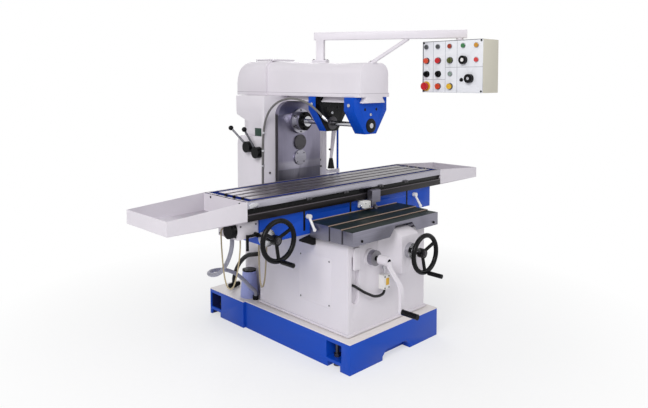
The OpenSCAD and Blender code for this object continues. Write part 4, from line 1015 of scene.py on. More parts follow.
@dataclass
class Studio:
    """Camera at the photograph's place, soft light and a pale floor."""

    eye: Point = (-2.848, -2.9776, 1.6428)
    look: Point = (0.69570, 0.71643, -0.05234)
    lens_mm: float = 34.285
    sensor_mm: float = 36.0
    axis_row: float = 113.3
    image: Tuple[int, int] = (648, 408)
    lamps: Tuple[Tuple[str, Point, Point, float, float], ...] = (
        ("key_light", (-4.9, -2.4, 4.2), (0, -0.2, 0.9), 2.6, 205.0),
        ("front_light", (1.6, -5.2, 3.4), (0, -0.3, 0.9), 2.4, 62.0),
        ("rear_light", (2.5, 4.5, 4.0), (0, 0.2, 1.0), 2.5, 80.0),
    )
    even_light: float = 0.45
    floor_radii: Tuple[float, ...] = (0.01, 3.0, 14.0)
    floor_sides: int = 64
    floor_drop: float = 0.0005
    floor_glow: float = 0.55
    fade: Pair = (0.9, 2.4)

    def build(self) -> None:
        """Makes the camera, the lamps, the world and the floor."""
        self.camera()
        for lamp in self.lamps:
            self.lamp(*lamp)
        self.world()
        self.floor()
        bpy.context.scene.view_settings.view_transform = "Standard"

    @staticmethod
    def hang(name: str, data: bpy.types.ID, place: Point, look: Vector) -> bpy.types.Object:
        """Puts a camera or a lamp at a place.

        Args:
            name: the new object's name.
            data: the camera or the lamp.
            place: where it stands.
            look: the direction that it looks along.

        Returns:
            The object.
        """
        hung = bpy.data.objects.new(name, data)
        hung.location = place
        hung.rotation_euler = look.to_track_quat("-Z", "Y").to_euler()
        bpy.context.scene.collection.objects.link(hung)
        return hung

    def camera(self) -> None:
        """Sets a camera that looks a little down, with a shift that puts its axis on its row."""
        data = bpy.data.cameras.new("camera")
        data.lens = self.lens_mm
        data.sensor_width = self.sensor_mm
        data.shift_y = (self.axis_row - self.image[1] / 2) / self.image[0]
        data.clip_end = 100.0
        bpy.context.scene.camera = self.hang("camera", data, self.eye, Vector(self.look))

    def lamp(self, name: str, place: Point, target: Point, size: float, power: float) -> None:
        """Adds a square soft lamp.

        Args:
            name: the lamp's name.
            place: where it hangs.
            target: what it points at.
            size: length of its side.
            power: watts.
        """
        data = bpy.data.lights.new(name, "AREA")
        data.size = size
        data.energy = power
        self.hang(name, data, place, Vector(target) - Vector(place))

    @staticmethod
    def _seen(make: NodeMaker) -> Value:
        """Tells the rays that show the background from those that only light.

        Args:
            make: adds the nodes.

        Returns:
            1 for camera, glossy and transmitted rays, and 0 for the rest.
        """
        camera, glossy, passed = (
            make.node("ShaderNodeLightPath", out=f"Is {kind} Ray")
            for kind in ("Camera", "Glossy", "Transmission")
        )
        return camera.highest(glossy).highest(passed)

    def world(self) -> None:
        """White to the camera, and a soft even light for the rest."""
        world = bpy.data.worlds.new("studio")
        world.use_nodes = True
        bpy.context.scene.world = world
        make = NodeMaker(world.node_tree)
        strength = self._seen(make) * (1 - self.even_light) + self.even_light
        light = make.node("ShaderNodeBackground", {"Color": (1, 1, 1, 1), "Strength": strength})
        make.node("ShaderNodeOutputWorld", {"Surface": light})

    def floor(self) -> None:
        """A wide pale floor that fades to white and keeps the shadow near the machine."""
        rim = np.pad(circle(self.floor_sides), ((0, 0), (0, 1)))
        points = np.concatenate([rim * radius for radius in self.floor_radii])
        faces = ring_faces(len(self.floor_radii), self.floor_sides).tolist()
        faces.append(list(range(self.floor_sides)))
        floor = raw_mesh("floor", points - np.array([0, 0, self.floor_drop]), faces)
        material = bpy.data.materials.new("pale_floor")
        material.use_nodes = True
        make = NodeMaker(material.node_tree)
        x, y = make.axis("X"), make.axis("Y")
        far = ((x * x + y * y) ** 0.5).step(*self.fade)
        grain = make.colour(make.noise(30.0, 4.0), (240, 240, 242), (246, 246, 247))
        matte = make.node("ShaderNodeBsdfDiffuse", {"Color": grain})
        glow = make.node("ShaderNodeEmission", {"Color": (1, 1, 1, 1), "Strength": 1.0})
        share = self._seen(make) * (self.floor_glow + (1 - self.floor_glow) * far)
        mixed = make.node("ShaderNodeMixShader", {0: share, 1: matte, 2: glow})
        make.node("ShaderNodeOutputMaterial", {"Surface": mixed})
        floor.data.materials.append(material)


# Hoses and cables


@dataclass(frozen=True)
class Run:
    """One hose or cable: its route, its size and what it joins."""

    name: str
    node: str
    bodies: Tuple[str, ...]
    radius_mm: float
    finish: Finish
    slot: str
    stiffness: str
    lay: str
    points_mm: Tuple[Point, ...]


@dataclass
class HosesAndCables:
    """The coolant hoses, oil lines and the limit switch's cable."""

    shop: Paintshop
    samples: int = 40
    sides: int = 16
    runs: Tuple[Run, ...] = (
        Run(
            "coolant_hose_tube", "coolant_hose", ("frame",), 7, Stock.steel_hose, "grey_hose",
            "stiff", "taut",
            ((-300, 232, 955), (-300, 232, 1000), (-300, 231, 1080), (-300, 230, 1160),
             (-300, 228, 1250), (-297, 220, 1330), (-290, 206, 1394), (-280, 174, 1455),
             (-265, 117, 1503), (-245, 43, 1528), (-225, -31, 1526), (-205, -112, 1500),
             (-188, -173, 1458), (-176, -214, 1422)),
        ),
        Run(
            "drain_hose_upper", "drain_hose", ("saddle_set", "knee_set"), 12, Stock.grey_hose,
            "grey_hose", "medium", "hanging",
            ((-890, -240, 791), (-890, -240, 750), (-889, -220, 690), (-882, -165, 615),
             (-870, -85, 552), (-852, 10, 516), (-822, 90, 500), (-775, 140, 492)),
        ),
        Run(
            "drain_hose_lower", "drain_hose", ("knee_set", "frame"), 12, Stock.grey_hose,
            "grey_hose", "medium", "hanging",
            ((-775, 140, 492), (-715, 165, 482), (-650, 181, 466), (-580, 205, 434),
             (-510, 228, 390), (-445, 246, 334), (-390, 258, 278), (-352, 262, 246),
             (-340, 262, 226), (-340, 262, 205)),
        ),
        Run(
            "pump_hose_tube", "pump_hose", ("frame",), 15, Stock.black_hose, "black_hose",
            "medium", "loose",
            ((-298, 564, 216), (-298, 564, 245), (-302, 540, 300), (-308, 495, 360),
             (-312, 440, 412), (-312, 385, 448), (-306, 335, 463), (-298, 308, 469),
             (-285, 300, 470), (-265, 300, 470)),
        ),
        Run(
            "oil_line_tube", "oil_line", ("saddle_set",), 4, Stock.tan_tube, "tan_tube",
            "limp", "hanging",
            ((-915, -192, 838), (-921, -192, 838), (-926, -192, 830), (-928, -192, 818),
             (-928, -193, 780), (-926, -195, 720), (-922, -199, 640), (-915, -206, 560),
             (-905, -217, 512), (-896, -232, 502), (-889, -250, 520), (-884, -272, 580),
             (-881, -290, 660), (-880, -300, 730), (-880, -302, 770), (-880, -302, 791)),
        ),
        Run(
            "oil_loop_tube", "oil_loop", ("saddle_set",), 5, Stock.tan_tube, "tan_tube",
            "limp", "hanging",
            ((-572, -70, 745), (-572, -70, 700), (-570, -68, 620), (-565, -64, 530),
             (-554, -57, 440), (-540, -50, 396), (-523, -42, 378), (-505, -34, 396),
             (-490, -28, 450), (-479, -23, 540), (-472, -21, 630), (-470, -20, 700),
             (-470, -20, 745)),
        ),
        Run(
            "switch_cable_lead", "switch_cable", ("knee_set",), 8, Stock.cable, "black_hose",
            "medium", "hanging",
            ((-65, -628, 408), (-65, -628, 396), (-74, -631, 384), (-98, -636, 378),
             (-135, -640, 380), (-175, -641, 390), (-215, -638, 410), (-250, -630, 430),
             (-276, -616, 450), (-290, -600, 463), (-294, -590, 466), (-294, -580, 466)),
        ),
    )

    def build(self) -> None:
        for run in self.runs:
            self.lay_run(run)

    def lay_run(self, run: Run) -> None:
        """Carries a circle along the run's smooth route, with its length on the UV map.

        Args:
            run: what is laid.
        """
        path = smooth_path(mm(*run.points_mm), self.samples)
        along = lengths_along(path)
        piece = PieceMaker(run.name).add(tube_rings(path, run.radius_mm * MM, self.sides)).mesh()
        self.map_length(piece.data, path, along)
        self.shop.coat(piece, run.finish)
        if len(run.bodies) == 1:
            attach(piece, run.bodies[0])
        else:
            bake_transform(piece)
        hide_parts(run.node)

    @staticmethod
    def map_length(mesh: bpy.types.Mesh, path: np.ndarray, along: np.ndarray) -> None:
        """Writes a UV map whose second number is the distance along the path.

        Args:
            mesh: the tube's mesh.
            path: the points of its middle line.
            along: the distance of each of them from the start.
        """
        gaps = ((mesh_points(mesh)[:, None] - path[None]) ** 2).sum(-1)
        corners = np.empty(len(mesh.loops), np.int32)
        mesh.loops.foreach_get("vertex_index", corners)
        distance = along[np.argmin(gaps, axis=1)][corners]
        uv = np.stack([np.zeros(len(corners)), distance], -1)
        layer = mesh.uv_layers.new(name="length")
        layer.data.foreach_set("uv", uv.astype(np.float32).ravel())


# Dressing of the CAD pieces


class Panel:
    """Places on the control panel's face, by shares of its width and height."""

    face_x_mm = 394.5
    middle_y_mm = -774.5
    top_z_mm = 1894.3
    size_mm = (442.0, 324.0)

    @classmethod
    def place_mm(cls, across: float, down: float) -> Point:
        """Point on the face at a share across it from the left and down it from the top."""
        wide, tall = cls.size_mm
        return (cls.face_x_mm, cls.middle_y_mm + wide * (0.5 - across), cls.top_z_mm - tall * down)

    @classmethod
    def round_zone(cls, across: float, down: float, radius_mm: float) -> RoundZone:
        """Circle about a place on the face, through the whole depth."""
        return RoundZone(tuple(mm(*cls.place_mm(across, down)).tolist()), radius_mm * MM, "YZ")

    @classmethod
    def strip(cls, across: Pair, down: Pair, half_mm: float = 1.2) -> BoxZone:
        """Strip of the face between two shares each way.

        Args:
            across: shares of its sides, from the left.
            down: shares of its ends, from the top.
            half_mm: how far it is widened on every side.

        Returns:
            The strip as a thin box.
        """
        x, left, top = cls.place_mm(across[0], down[0])
        _, right, foot = cls.place_mm(across[1], down[1])
        wide, tall = (right - half_mm, left + half_mm), (foot - half_mm, top + half_mm)
        spans = mm((x - 1, x + 1), wide, tall).tolist()
        return BoxZone(*(tuple(span) for span in spans))


@dataclass
class MachineBody:
    """Finishes of the castings and fittings that stay as the CAD has them."""

    shop: Paintshop
    plain: Tuple[Tuple[Finish, float, Tuple[str, ...]], ...] = (
        (Stock.white, 0.0, ("boom_brace",)),
        (Stock.white, 1.0, ("boom",)),
        (Stock.white, 1.5, ("gearbox_cover",)),
        (Stock.white, 2.0, ("overarm_cover", "feed_gearbox")),
        (Stock.blue, 2.0, ("saddle",)),
        (Stock.lavender, 0.0, ("main_motor",)),
        (Stock.dark_steel, 0.0, ("levelling_screws", "motor_pinion")),
        (Stock.dark_steel, 0.0, ("cross_screw", "elevating_screw", "table_screw")),
        (Stock.bright, 0.0, ("spindle_bearings", "coolant_fittings", "arbor")),
        (Stock.rubber, 0.0, ("hose_tee",)),
        (Stock.cover, 0.0, ("trip_switch",)),
        (Stock.white_plastic, 0.0, ("clamp_lever_left", "clamp_lever_right")),
        (Stock.black, 0.0, ("feed_lever", "feed_selector", "coolant_selector")),
        (Stock.orange, 0.0, ("start_button", "drive_selector")),
        (Stock.red, 0.0, ("stop_button", "emergency_stop")),
        (Stock.yellow, 0.0, ("jog_button",)),
        (Stock.olive, 0.0, ("mode_selector",)),
    )
    parted: Tuple[Tuple[str, float, Finish, Finish, BoxZone], ...] = (
        # The upper bearing cap is dark steel and the lower one bright: painted reflection.
        ("bearing_caps", 0.0, Stock.ground_x, Stock.dark_steel, BoxZone(z=(1.165, 1.275))),
        ("coolant_pump", 0.0, Stock.lavender, Stock.black, BoxZone(z=(0.356, None))),
        ("work_lamp", 0.0, Stock.white, Stock.black, BoxZone(z=(None, 1.08))),
        ("overarm", 2.0, Stock.white, Stock.tray_floor, BoxZone(z=(1.5646, 1.5674))),
        ("spindle", 0.0, Stock.bright, Stock.black, BoxZone(y=(None, 0.1405))),
        ("knee", 2.5, Stock.white, Stock.ground_y, BoxZone(y=(-0.6, None), z=(0.7255, None))),
        # The apron's top is painted dark green: painted reflection.
        ("cover_apron", 1.0, Stock.cover, Stock.cover_top,
         BoxZone(y=(-0.68, None), z=(0.8045, None))),
        ("limit_switch", 0.0, Stock.white_plastic, Stock.bright, BoxZone(z=(0.4925, None))),
        ("cross_handwheel", 0.0, Stock.black, Stock.bright, BoxZone(y=(-0.727, None))),
        ("feed_knob", 0.0, Stock.black, Stock.rubber, BoxZone(x=(None, -0.93))),
        ("table_handwheel", 0.0, Stock.black, Stock.bright, BoxZone(y=(-0.371, None))),
    )
    way_x: Pair = (-0.1955, 0.1955)
    way_y: Pair = (0.196, 0.225)
    lever_hubs: Tuple[Tuple[str, Point], ...] = (
        ("speed_lever_high", (-0.310, 0.3775, 1.196)),
        ("speed_lever_low", (-0.310, 0.2795, 1.165)),
    )
    ball_radius: float = 0.017
    bush: RoundZone = RoundZone((0.0, 0.0, 1.368), 0.0445, "XZ")
    table_top: float = 0.9996
    slot_y: Tuple[float, ...] = (-0.2365, -0.1565, -0.0765)
    tray_wall: float = 0.0025

    def build(self) -> None:
        """Dresses every CAD piece that stays in view."""
        for finish, edge_mm, nodes in self.plain:
            for node in nodes:
                self.shop.dress(node, finish, edge_mm)
        for node, edge_mm, under, over, zone in self.parted:
            self.zoned(node, under, (zone, over), edge_mm=edge_mm)
        self.standing_parts()
        self.support_parts()
        self.pendant_parts()
        self.knee_parts()
        self.table_parts()

    def zoned(self, node: str, under: Finish, *over: Overlay, edge_mm: float = 0.0) -> None:
        """Dresses a CAD node with one finish and with others over parts of it."""
        self.shop.dress(node, Zoned(node + "_finish", under, over), edge_mm)

    def standing_parts(self) -> None:
        """Base, column and speed levers."""
        # The rear windows' insides are painted dark: painted shade.
        window = BoxZone(x=(-0.418, 0.418), y=(0.5, 0.662), z=(None, 0.166))
        cream_top = (BoxZone(z=(0.174, None)), Stock.cream)
        self.zoned("base", Stock.blue, cream_top, (window, Stock.window_shade), edge_mm=2.0)
        front, deep = self.way_y
        self.zoned(
            "column",
            Stock.white,
            (BoxZone(self.way_x, (None, deep)), Stock.slideway),
            # Below the band the slideway is painted darker: painted reflection.
            (BoxZone(self.way_x, (None, deep), (None, 1.041)), Stock.lower_way_reflection),
            # A soft-edged band of brighter steel across the slideway: painted highlight.
            (BoxZone(self.way_x, (None, front), (1.046, 1.092), 0.01), Stock.ground_x),
            # The slideway's left side face is painted dark steel: painted shade.
            (BoxZone((-0.197, -0.1945), self.way_y), Stock.dark_steel),
            edge_mm=2.0,
        )
        for lever, hub in self.lever_hubs:
            ball = RoundZone(self.far_ball(lever, hub, self.ball_radius), self.ball_radius + 0.0006)
            black = (ball, BoxZone(x=(-0.3305, None)), RoundZone(hub, 0.0385, "YZ"))
            self.zoned(lever, Stock.bezel, *((zone, Stock.black) for zone in black))

    @staticmethod
    def far_ball(node: str, hub: Point, radius: float) -> Point:
        """Finds the centre of a ball at a lever's far end.

        The point furthest from the hub is the ball's pole, and its centre lies
        one radius back towards the hub.

        Args:
            node: the lever's CAD node.
            hub: a point on its hub.
            radius: the ball's radius.

        Returns:
            The ball's centre.
        """
        away = mesh_points(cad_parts[node].data) - np.array(hub)
        pole = away[np.argmax((away**2).sum(1))]
        centre = np.array(hub) + pole * (1 - radius / np.linalg.norm(pole))
        return tuple(centre.tolist())

    def support_parts(self) -> None:
        """The two arbor supports; the inner one's front face is black, partly painted shade."""
        # The inner support's front face is painted black: a dark face, and also painted shade under
        # the overarm.
        face = (BoxZone(y=(None, -0.1215)), Stock.black)
        dark_bush, black_bush = (self.bush, Stock.dark_steel), (self.bush, Stock.black)
        self.zoned("inner_support", Stock.blue, face, dark_bush, edge_mm=1.5)
        self.zoned("outer_support", Stock.blue, black_bush, edge_mm=1.5)

    def pendant_parts(self) -> None:
        """The control pendant's box, its lamps and the caps of two knobs."""
        lines = (
            ((0.19, 0.19), (0, 1)), ((0.395, 0.395), (0, 1)), ((0.59, 0.59), (0, 1)),
            ((0.395, 1), (0.515, 0.515)), ((0, 0.395), (0.75, 0.75)), ((0, 1), (1, 1)),
            ((1, 1), (0.45, 1)),
        )
        borders = (((0, 0.014), (0, 1)), ((0, 1), (0, 0.008)))
        raised = BoxZone(x=(None, (Panel.face_x_mm - 0.8) * MM))
        rims = (
            (0.07, 0.88, 33, Stock.yellow),
            (0.08, 0.64, 23, Stock.black),
            (0.28, 0.64, 23, Stock.black),
        )
        self.zoned(
            "pendant_box",
            Stock.beige,
            (BoxZone(x=(None, (Panel.face_x_mm + 1) * MM)), Stock.panel),
            *((Panel.strip(*line), Stock.line) for line in lines),
            *((Panel.strip(*border), Stock.border) for border in borders),
            (raised, Stock.bezel),
            *((SharedZone(raised, Panel.round_zone(*rim[:3])), rim[3]) for rim in rims),
            (BoxZone(z=((Panel.top_z_mm + 0.5) * MM, None)), Stock.white),
            edge_mm=1.0,
        )
        lamps = (
            (0.07, 0.11, (74, 76, 78)), (0.27, 0.11, (74, 76, 78)), (0.47, 0.11, (150, 52, 30)),
            (0.69, 0.11, (62, 120, 76)), (0.90, 0.11, (196, 140, 54)),
            (0.90, 0.38, (204, 66, 66)), (0.48, 0.64, (126, 142, 134)),
        )
        lenses = (
            (Panel.round_zone(u, v, 13.9), Moulded(f"lens_{k}", colour, 0.2, lacquer=0.3))
            for k, (u, v, colour) in enumerate(lamps)
        )
        self.zoned("pilot_lamps", Stock.bright, *lenses)
        cap = (Panel.round_zone(0.70, 0.38, 11), Stock.white_plastic)
        self.zoned("speed_knob", Stock.black, cap)
        self.zoned("feed_dial", Stock.black, (Panel.round_zone(0.80, 0.73, 9), Stock.bright))

    def knee_parts(self) -> None:
        """Sliding way covers and the elevating crank."""
        for node in ("way_cover_front", "way_cover_rear"):
            low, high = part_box(node)
            rim = high[2] - 0.0030
            # The tops are painted dark green: painted reflection of the plates.
            self.zoned(
                node,
                Stock.cover,
                (BoxZone(z=(high[2] - 0.0012, None)), Stock.cover_top),
                (BoxZone(y=(None, low[1] + 0.006), z=(rim, None)), Stock.wiper),
                (BoxZone(y=(None, low[1] + 0.002), z=(None, rim)), Stock.dark_steel),
            )
        grip = RoundZone((-0.175, 0.0, 0.352), 0.0175, "XZ")
        self.zoned(
            "elevating_crank",
            Stock.white,
            (BoxZone(y=(-0.6605, None)), Stock.ground_y),
            (BoxZone(y=(-0.6870, -0.6605)), Stock.black),
            (SharedZone(grip, BoxZone(y=(None, -0.8546))), Stock.black),
        )

    def table_parts(self) -> None:
        """Table and its coolant trays."""
        below = (0.95, self.table_top - 0.002)
        whole, front = (-0.346, 0.034), (None, -0.36)
        gutters = (
            BoxZone(y=(-0.346, -0.310), z=below),
            BoxZone(y=(-0.003, 0.034), z=below),
            BoxZone((-0.8605, -0.8125), whole, below),
            BoxZone((0.8125, 0.8605), whole, below),
        )
        slot = (0.95, self.table_top - 0.0015)
        # The T-slots, the lip and the lower front below the flange are painted near black: painted
        # shade.
        iron_shade = (
            *(BoxZone(y=(y - 0.016, y + 0.016), z=slot) for y in self.slot_y),
            BoxZone(y=front, z=(None, 0.9255)),
            BoxZone(y=front, z=(0.9285, 0.934)),
        )
        self.zoned(
            "table",
            Stock.table_iron,
            *((zone, Stock.gutter) for zone in gutters),
            *((zone, Stock.iron_shade) for zone in iron_shade),
            # The dogs' trough is painted black: painted shade in the recess.
            (BoxZone(y=(-0.3608, -0.34), z=(0.933, 0.96)), Stock.black),
            (BoxZone(y=(None, -0.3608), z=(0.9605, 0.9975)), Stock.ground_x),
            edge_mm=1.0,
        )
        low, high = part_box("coolant_trays")
        wall, near = self.tray_wall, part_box("table")[1][0] + 0.006
        within = (low[1] + wall, high[1] - wall)
        # The trays' inner walls and floor are painted grey: painted shade.
        self.zoned(
            "coolant_trays",
            Stock.white,
            (BoxZone((low[0] + wall, -near), within), Stock.tray_inside_shade),
            (BoxZone((near, high[0] - wall), within), Stock.tray_inside_shade),
            (BoxZone(z=(None, low[2] + 0.005)), Stock.tray_floor),
        )


# Fittings that only the scene has


@dataclass
class Fittings:
    """Small trim on the CAD's bodies; a bolt's size is its head's radius and height."""

    shop: Paintshop

    def fit(self, body: str, trim: Trim, maker: PieceMaker) -> None:
        """Makes a gathered piece, finishes it and lets it ride on a body.

        Args:
            body: the CAD body that carries it.
            trim: its finish and slot.
            maker: what was gathered.
        """
        finish, slot = trim.value
        piece = maker.mesh()
        self.shop.coat(piece, finish)
        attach(piece, body)


@dataclass
class ColumnFittings(Fittings):
    """Trip rod, bare plate, hose clips, bolts and a rear door on the column."""

    rod_mm: Pair = (417.0, 240.0)
    rod_z_mm: Pair = (885.0, 1366.0)
    rod_radius_mm: float = 8.0
    rod_cut_mm: float = 2.0
    brackets_mm: Tuple[Pair, ...] = ((990.0, 26.0), (1356.0, 10.0))
    bracket_wide_mm: float = 24.0
    bracket_past_mm: float = 11.0
    bracket_bolt_mm: Pair = (6.0, 5.0)
    bolt_inset_mm: float = 16.0
    side_x_mm: float = 289.0
    plate_mm: Point = (-265.0, 307.5, 1288.0)
    plate_size_mm: Pair = (99.0, 72.0)
    plate_thick_mm: float = 1.4
    rivet_spread_mm: Pair = (43.5, 30.0)
    rivet_mm: Pair = (2.4, 1.2)
    clips_mm: Tuple[Point, ...] = ((-300, 231, 1080), (-300, 229.6, 1180), (-298.3, 223.6, 1300))
    clip_mm: Profile = (
        (7.2, 0), (9.0, 0), (9.6, 0.6), (9.6, 11.4), (9.0, 12), (7.2, 12), (7.2, 0)
    )
    strap_mm: Pair = (24.0, 12.0)
    ring_mm: Point = (0.0, 182.5, 1368.0)
    ring_radius_mm: float = 74.0
    ring_bolt_mm: Pair = (5.5, 4.0)
    caps_mm: Tuple[Point, ...] = ((0.0, 186.5, 1222.0), (0.0, 186.5, 1116.0))
    cap_radius_mm: float = 43.0
    cap_bolt_mm: Pair = (4.2, 2.5)
    frame_bolts_mm: Tuple[Point, ...] = (
        (222.0, 225.5, 1075.0), (230.0, 225.5, 1028.0), (-245.0, 225.5, 1028.0)
    )
    frame_bolt_mm: Pair = (7.0, 5.0)
    door_foot_mm: Point = (0.0, 600.5, 790.0)
    door_mm: Pair = (290.0, 860.0)
    door_thick_mm: float = 8.0
    door_corner_mm: float = 16.0
    door_screw_mm: Pair = (7.0, 4.0)
    door_inset_mm: Pair = (16.0, 18.0)
    louvres: int = 6
    louvre_mm: Pair = (179.8, 12.0)
    louvre_start_mm: float = 90.0
    louvre_step_mm: float = 26.0

    def build(self) -> None:
        """Makes the fittings one after another."""
        self.trip_rod()
        self.bare_plate()
        self.clips_and_bolts()
        self.rear_door()

    def trip_rod(self) -> None:
        """The upright rod at the column's right, held by two brackets with a bolt each."""
        (x, y), (low, high) = self.rod_mm, self.rod_z_mm
        tall, reach = high - low, x + self.bracket_past_mm - self.side_x_mm
        r, cut = self.rod_radius_mm, self.rod_cut_mm
        profile = ((r - cut, 0), (r, cut), (r, tall - cut), (r - cut, tall))
        rod = PieceMaker("trip_rod").turned([(x, y, low)], Facing.TOP, profile, 20)
        self.fit("frame", Trim.BLUE, rod)
        brackets, heads = PieceMaker("rod_brackets"), PieceMaker("bracket_bolts")
        for top, thick in self.brackets_mm:
            foot = (self.side_x_mm + reach / 2, y, top - thick)
            brackets.plates([foot], Facing.TOP, (reach, self.bracket_wide_mm), thick, 5)
            place = (self.side_x_mm + self.bolt_inset_mm, y, top)
            heads.bolts([place], Facing.TOP, *self.bracket_bolt_mm)
        self.fit("frame", Trim.WHITE, brackets)
        self.fit("frame", Trim.DARK, heads)

    def bare_plate(self) -> None:
        """A bare green plate with four rivets on the column's left side."""
        plate = PieceMaker("bare_plate")
        plate.plates([self.plate_mm], Facing.LEFT, self.plate_size_mm, self.plate_thick_mm, 3)
        self.fit("frame", Trim.GREEN, plate)
        (x, y, z), (aside, up) = self.plate_mm, self.rivet_spread_mm
        places = spots(x - self.plate_thick_mm, (y - aside, y + aside), (z - up, z + up))
        rivets = PieceMaker("plate_rivets").bolts(places, Facing.LEFT, *self.rivet_mm)
        self.fit("frame", Trim.BRIGHT, rivets)

    def clips_and_bolts(self) -> None:
        """Clips of the coolant hose, and bolts of the ring, the round plates and the frame."""
        clips = PieceMaker("hose_clips")
        for x, y, z in self.clips_mm:
            clips.turned([(x, y, z - 6)], Facing.TOP, self.clip_mm, 32, capped=False)
            clips.plates([(-self.side_x_mm, y + 7, z)], Facing.LEFT, self.strap_mm, 3, 2)
        self.fit("frame", Trim.BRIGHT, clips)
        heads = PieceMaker("column_bolts")
        ring = bolt_circle(self.ring_mm, self.ring_radius_mm, 6)
        heads.bolts(ring, Facing.FRONT, *self.ring_bolt_mm)
        for cap in self.caps_mm:
            corners = bolt_circle(cap, self.cap_radius_mm, 4)
            heads.bolts(corners, Facing.FRONT, *self.cap_bolt_mm)
        heads.bolts(self.frame_bolts_mm, Facing.FRONT, *self.frame_bolt_mm)
        self.fit("frame", Trim.DARK, heads)

    def rear_door(self) -> None:
        """The motor's door on the column's back, with two sets of louvres and its screws."""
        (wide, tall), (x, y, z) = self.door_mm, self.door_foot_mm
        face = y + self.door_thick_mm
        door = PieceMaker("rear_door")
        foot, corner = [self.door_foot_mm], self.door_corner_mm
        door.plates(foot, Facing.BACK, self.door_mm, self.door_thick_mm, corner)
        steps = self.louvre_start_mm + self.louvre_step_mm * np.arange(self.louvres)
        rise = 0.5 * tall - steps
        rows = np.concatenate([z - rise, z + rise])
        door.plates(spots(x, face - 0.5, rows), Facing.BACK, self.louvre_mm, 6, 5.5)
        self.fit("frame", Trim.WHITE, door)
        aside, up = 0.5 * wide - self.door_inset_mm[0], 0.5 * tall - self.door_inset_mm[1]
        places = spots((x - aside, x + aside), face, (z - up, z, z + up))
        screws = PieceMaker("door_screws").bolts(places, Facing.BACK, *self.door_screw_mm)
        self.fit("frame", Trim.DARK, screws)


@dataclass
class OverarmFittings(Fittings):
    """Bolts and plugs of the overarm, its post, its supports and the lamp."""

    post_mm: Point = (0.0, -12.5, 1781.3)
    post_turn_deg: float = -57.7
    post_half_mm: float = 37.0
    post_bolt_mm: Pair = (6.0, 5.0)
    brace_mm: Point = (0.0, -471.5, 1761.3)
    brace_step_mm: float = 18.5
    brace_bolt_mm: Pair = (4.5, 4.0)
    supports_mm: Tuple[Tuple[str, float, float], ...] = (
        ("outer", -457.5, 42.0), ("inner", -122.5, 34.0)
    )
    clamp_x_mm: float = 150.0
    clamp_z_mm: float = 1494.0
    clamp_bolt_mm: Pair = (11.0, 7.0)
    face_x_mm: float = -4.0
    face_z_mm: float = 1436.0
    face_bolt_mm: Pair = (9.0, 6.0)
    plug_x_mm: Pair = (-52.0, 52.0)
    plug_z_mm: float = 1468.0
    plug_mm: Profile = ((9, 0), (9, 0.6), (8, 1.2), (3, 1.2), (2.5, 0.4))
    knob_foot_mm: Point = (321.0, 214.5, 1144.0)
    knob_mm: Profile = ((3, 0), (3, 6), (6.5, 7), (7.5, 9), (7.5, 13), (6, 16), (2, 17))

    def build(self) -> None:
        """Makes the post's and the stay's bolts, those of the supports and the lamp's knob."""
        turn, half = math.radians(self.post_turn_deg), self.post_half_mm
        c, s = math.cos(turn), math.sin(turn)
        x, y, z = self.post_mm
        corners = itertools.product((-half, half), repeat=2)
        places = [(x + a * c - b * s, y + a * s + b * c, z) for a, b in corners]
        heads = PieceMaker("post_bolts").bolts(places, Facing.TOP, *self.post_bolt_mm)
        (x, y, z), step = self.brace_mm, self.brace_step_mm
        heads.bolts([(x - step, y, z), (x, y + step, z)], Facing.TOP, *self.brace_bolt_mm)
        self.fit("arm", Trim.DARK, heads)
        for side, front, depth in self.supports_mm:
            self.support_bolts(side, front, front + depth)
        knob = PieceMaker("lamp_knob").turned([self.knob_foot_mm], Facing.LEFT, self.knob_mm)
        self.fit("lamp", Trim.BLACK, knob)

    def support_bolts(self, side: str, front_mm: float, middle_mm: float) -> None:
        """Clamp bolts and plugs of one arbor support.

        Args:
            side: which support, outer or inner.
            front_mm: place of its front along the overarm.
            middle_mm: place of its middle.
        """
        heads = PieceMaker(side + "_support_bolts")
        for facing, x in ((Facing.LEFT, -self.clamp_x_mm), (Facing.RIGHT, self.clamp_x_mm)):
            heads.bolts([(x, middle_mm, self.clamp_z_mm)], facing, *self.clamp_bolt_mm)
        place = (self.face_x_mm, front_mm, self.face_z_mm)
        heads.bolts([place], Facing.FRONT, *self.face_bolt_mm)
        self.fit(side + "_hanger", Trim.BRIGHT, heads)
        plugs = PieceMaker(side + "_support_plugs")
        plugs.turned(spots(self.plug_x_mm, front_mm, self.plug_z_mm), Facing.FRONT, self.plug_mm)
        self.fit(side + "_hanger", Trim.BLACK, plugs)


@dataclass
class PanelFittings(Fittings):
    """Corner screws and a lock cap on the control panel, and the cover on its back."""

    screw_across: Pair = (0.025, 0.975)
    screw_down: Pair = (0.03, 0.97)
    screw_mm: Pair = (6.0, 3.0)
    cap_share: Pair = (0.665, 0.755)
    cap_mm: Profile = ((12, 0), (12, 3), (9, 4), (9, 9), (7.5, 10.5), (3.5, 10.5), (3, 8))
    back_mm: Point = (569.5, -774.5, 1732.0)
    cover_mm: Pair = (404.0, 286.0)
    cover_thick_mm: float = 3.0
    cover_inset_mm: float = 14.0
    cover_screw_mm: Pair = (5.0, 3.0)

    def build(self) -> None:
        """Makes the screws, the cap and the back cover."""
        shares = itertools.product(self.screw_across, self.screw_down)
        corners = [Panel.place_mm(*share) for share in shares]
        screws = PieceMaker("panel_screws").bolts(corners, Facing.LEFT, *self.screw_mm)
        self.fit("pendant", Trim.BLACK, screws)
        cap = PieceMaker("lock_cap")
        cap.turned([Panel.place_mm(*self.cap_share)], Facing.LEFT, self.cap_mm)
        self.fit("pendant", Trim.BLACK, cap)
        cover = PieceMaker("panel_back_cover")
        cover.plates([self.back_mm], Facing.RIGHT, self.cover_mm, self.cover_thick_mm, 9)
        self.fit("pendant", Trim.BEIGE, cover)
        x, y, z = self.back_mm
        aside, up = (0.5 * size - self.cover_inset_mm for size in self.cover_mm)
        places = spots(x + self.cover_thick_mm, (y - aside, y, y + aside), (z - up, z + up))
        heads = PieceMaker("back_cover_screws").bolts(places, Facing.RIGHT, *self.cover_screw_mm)
        self.fit("pendant", Trim.DARK, heads)


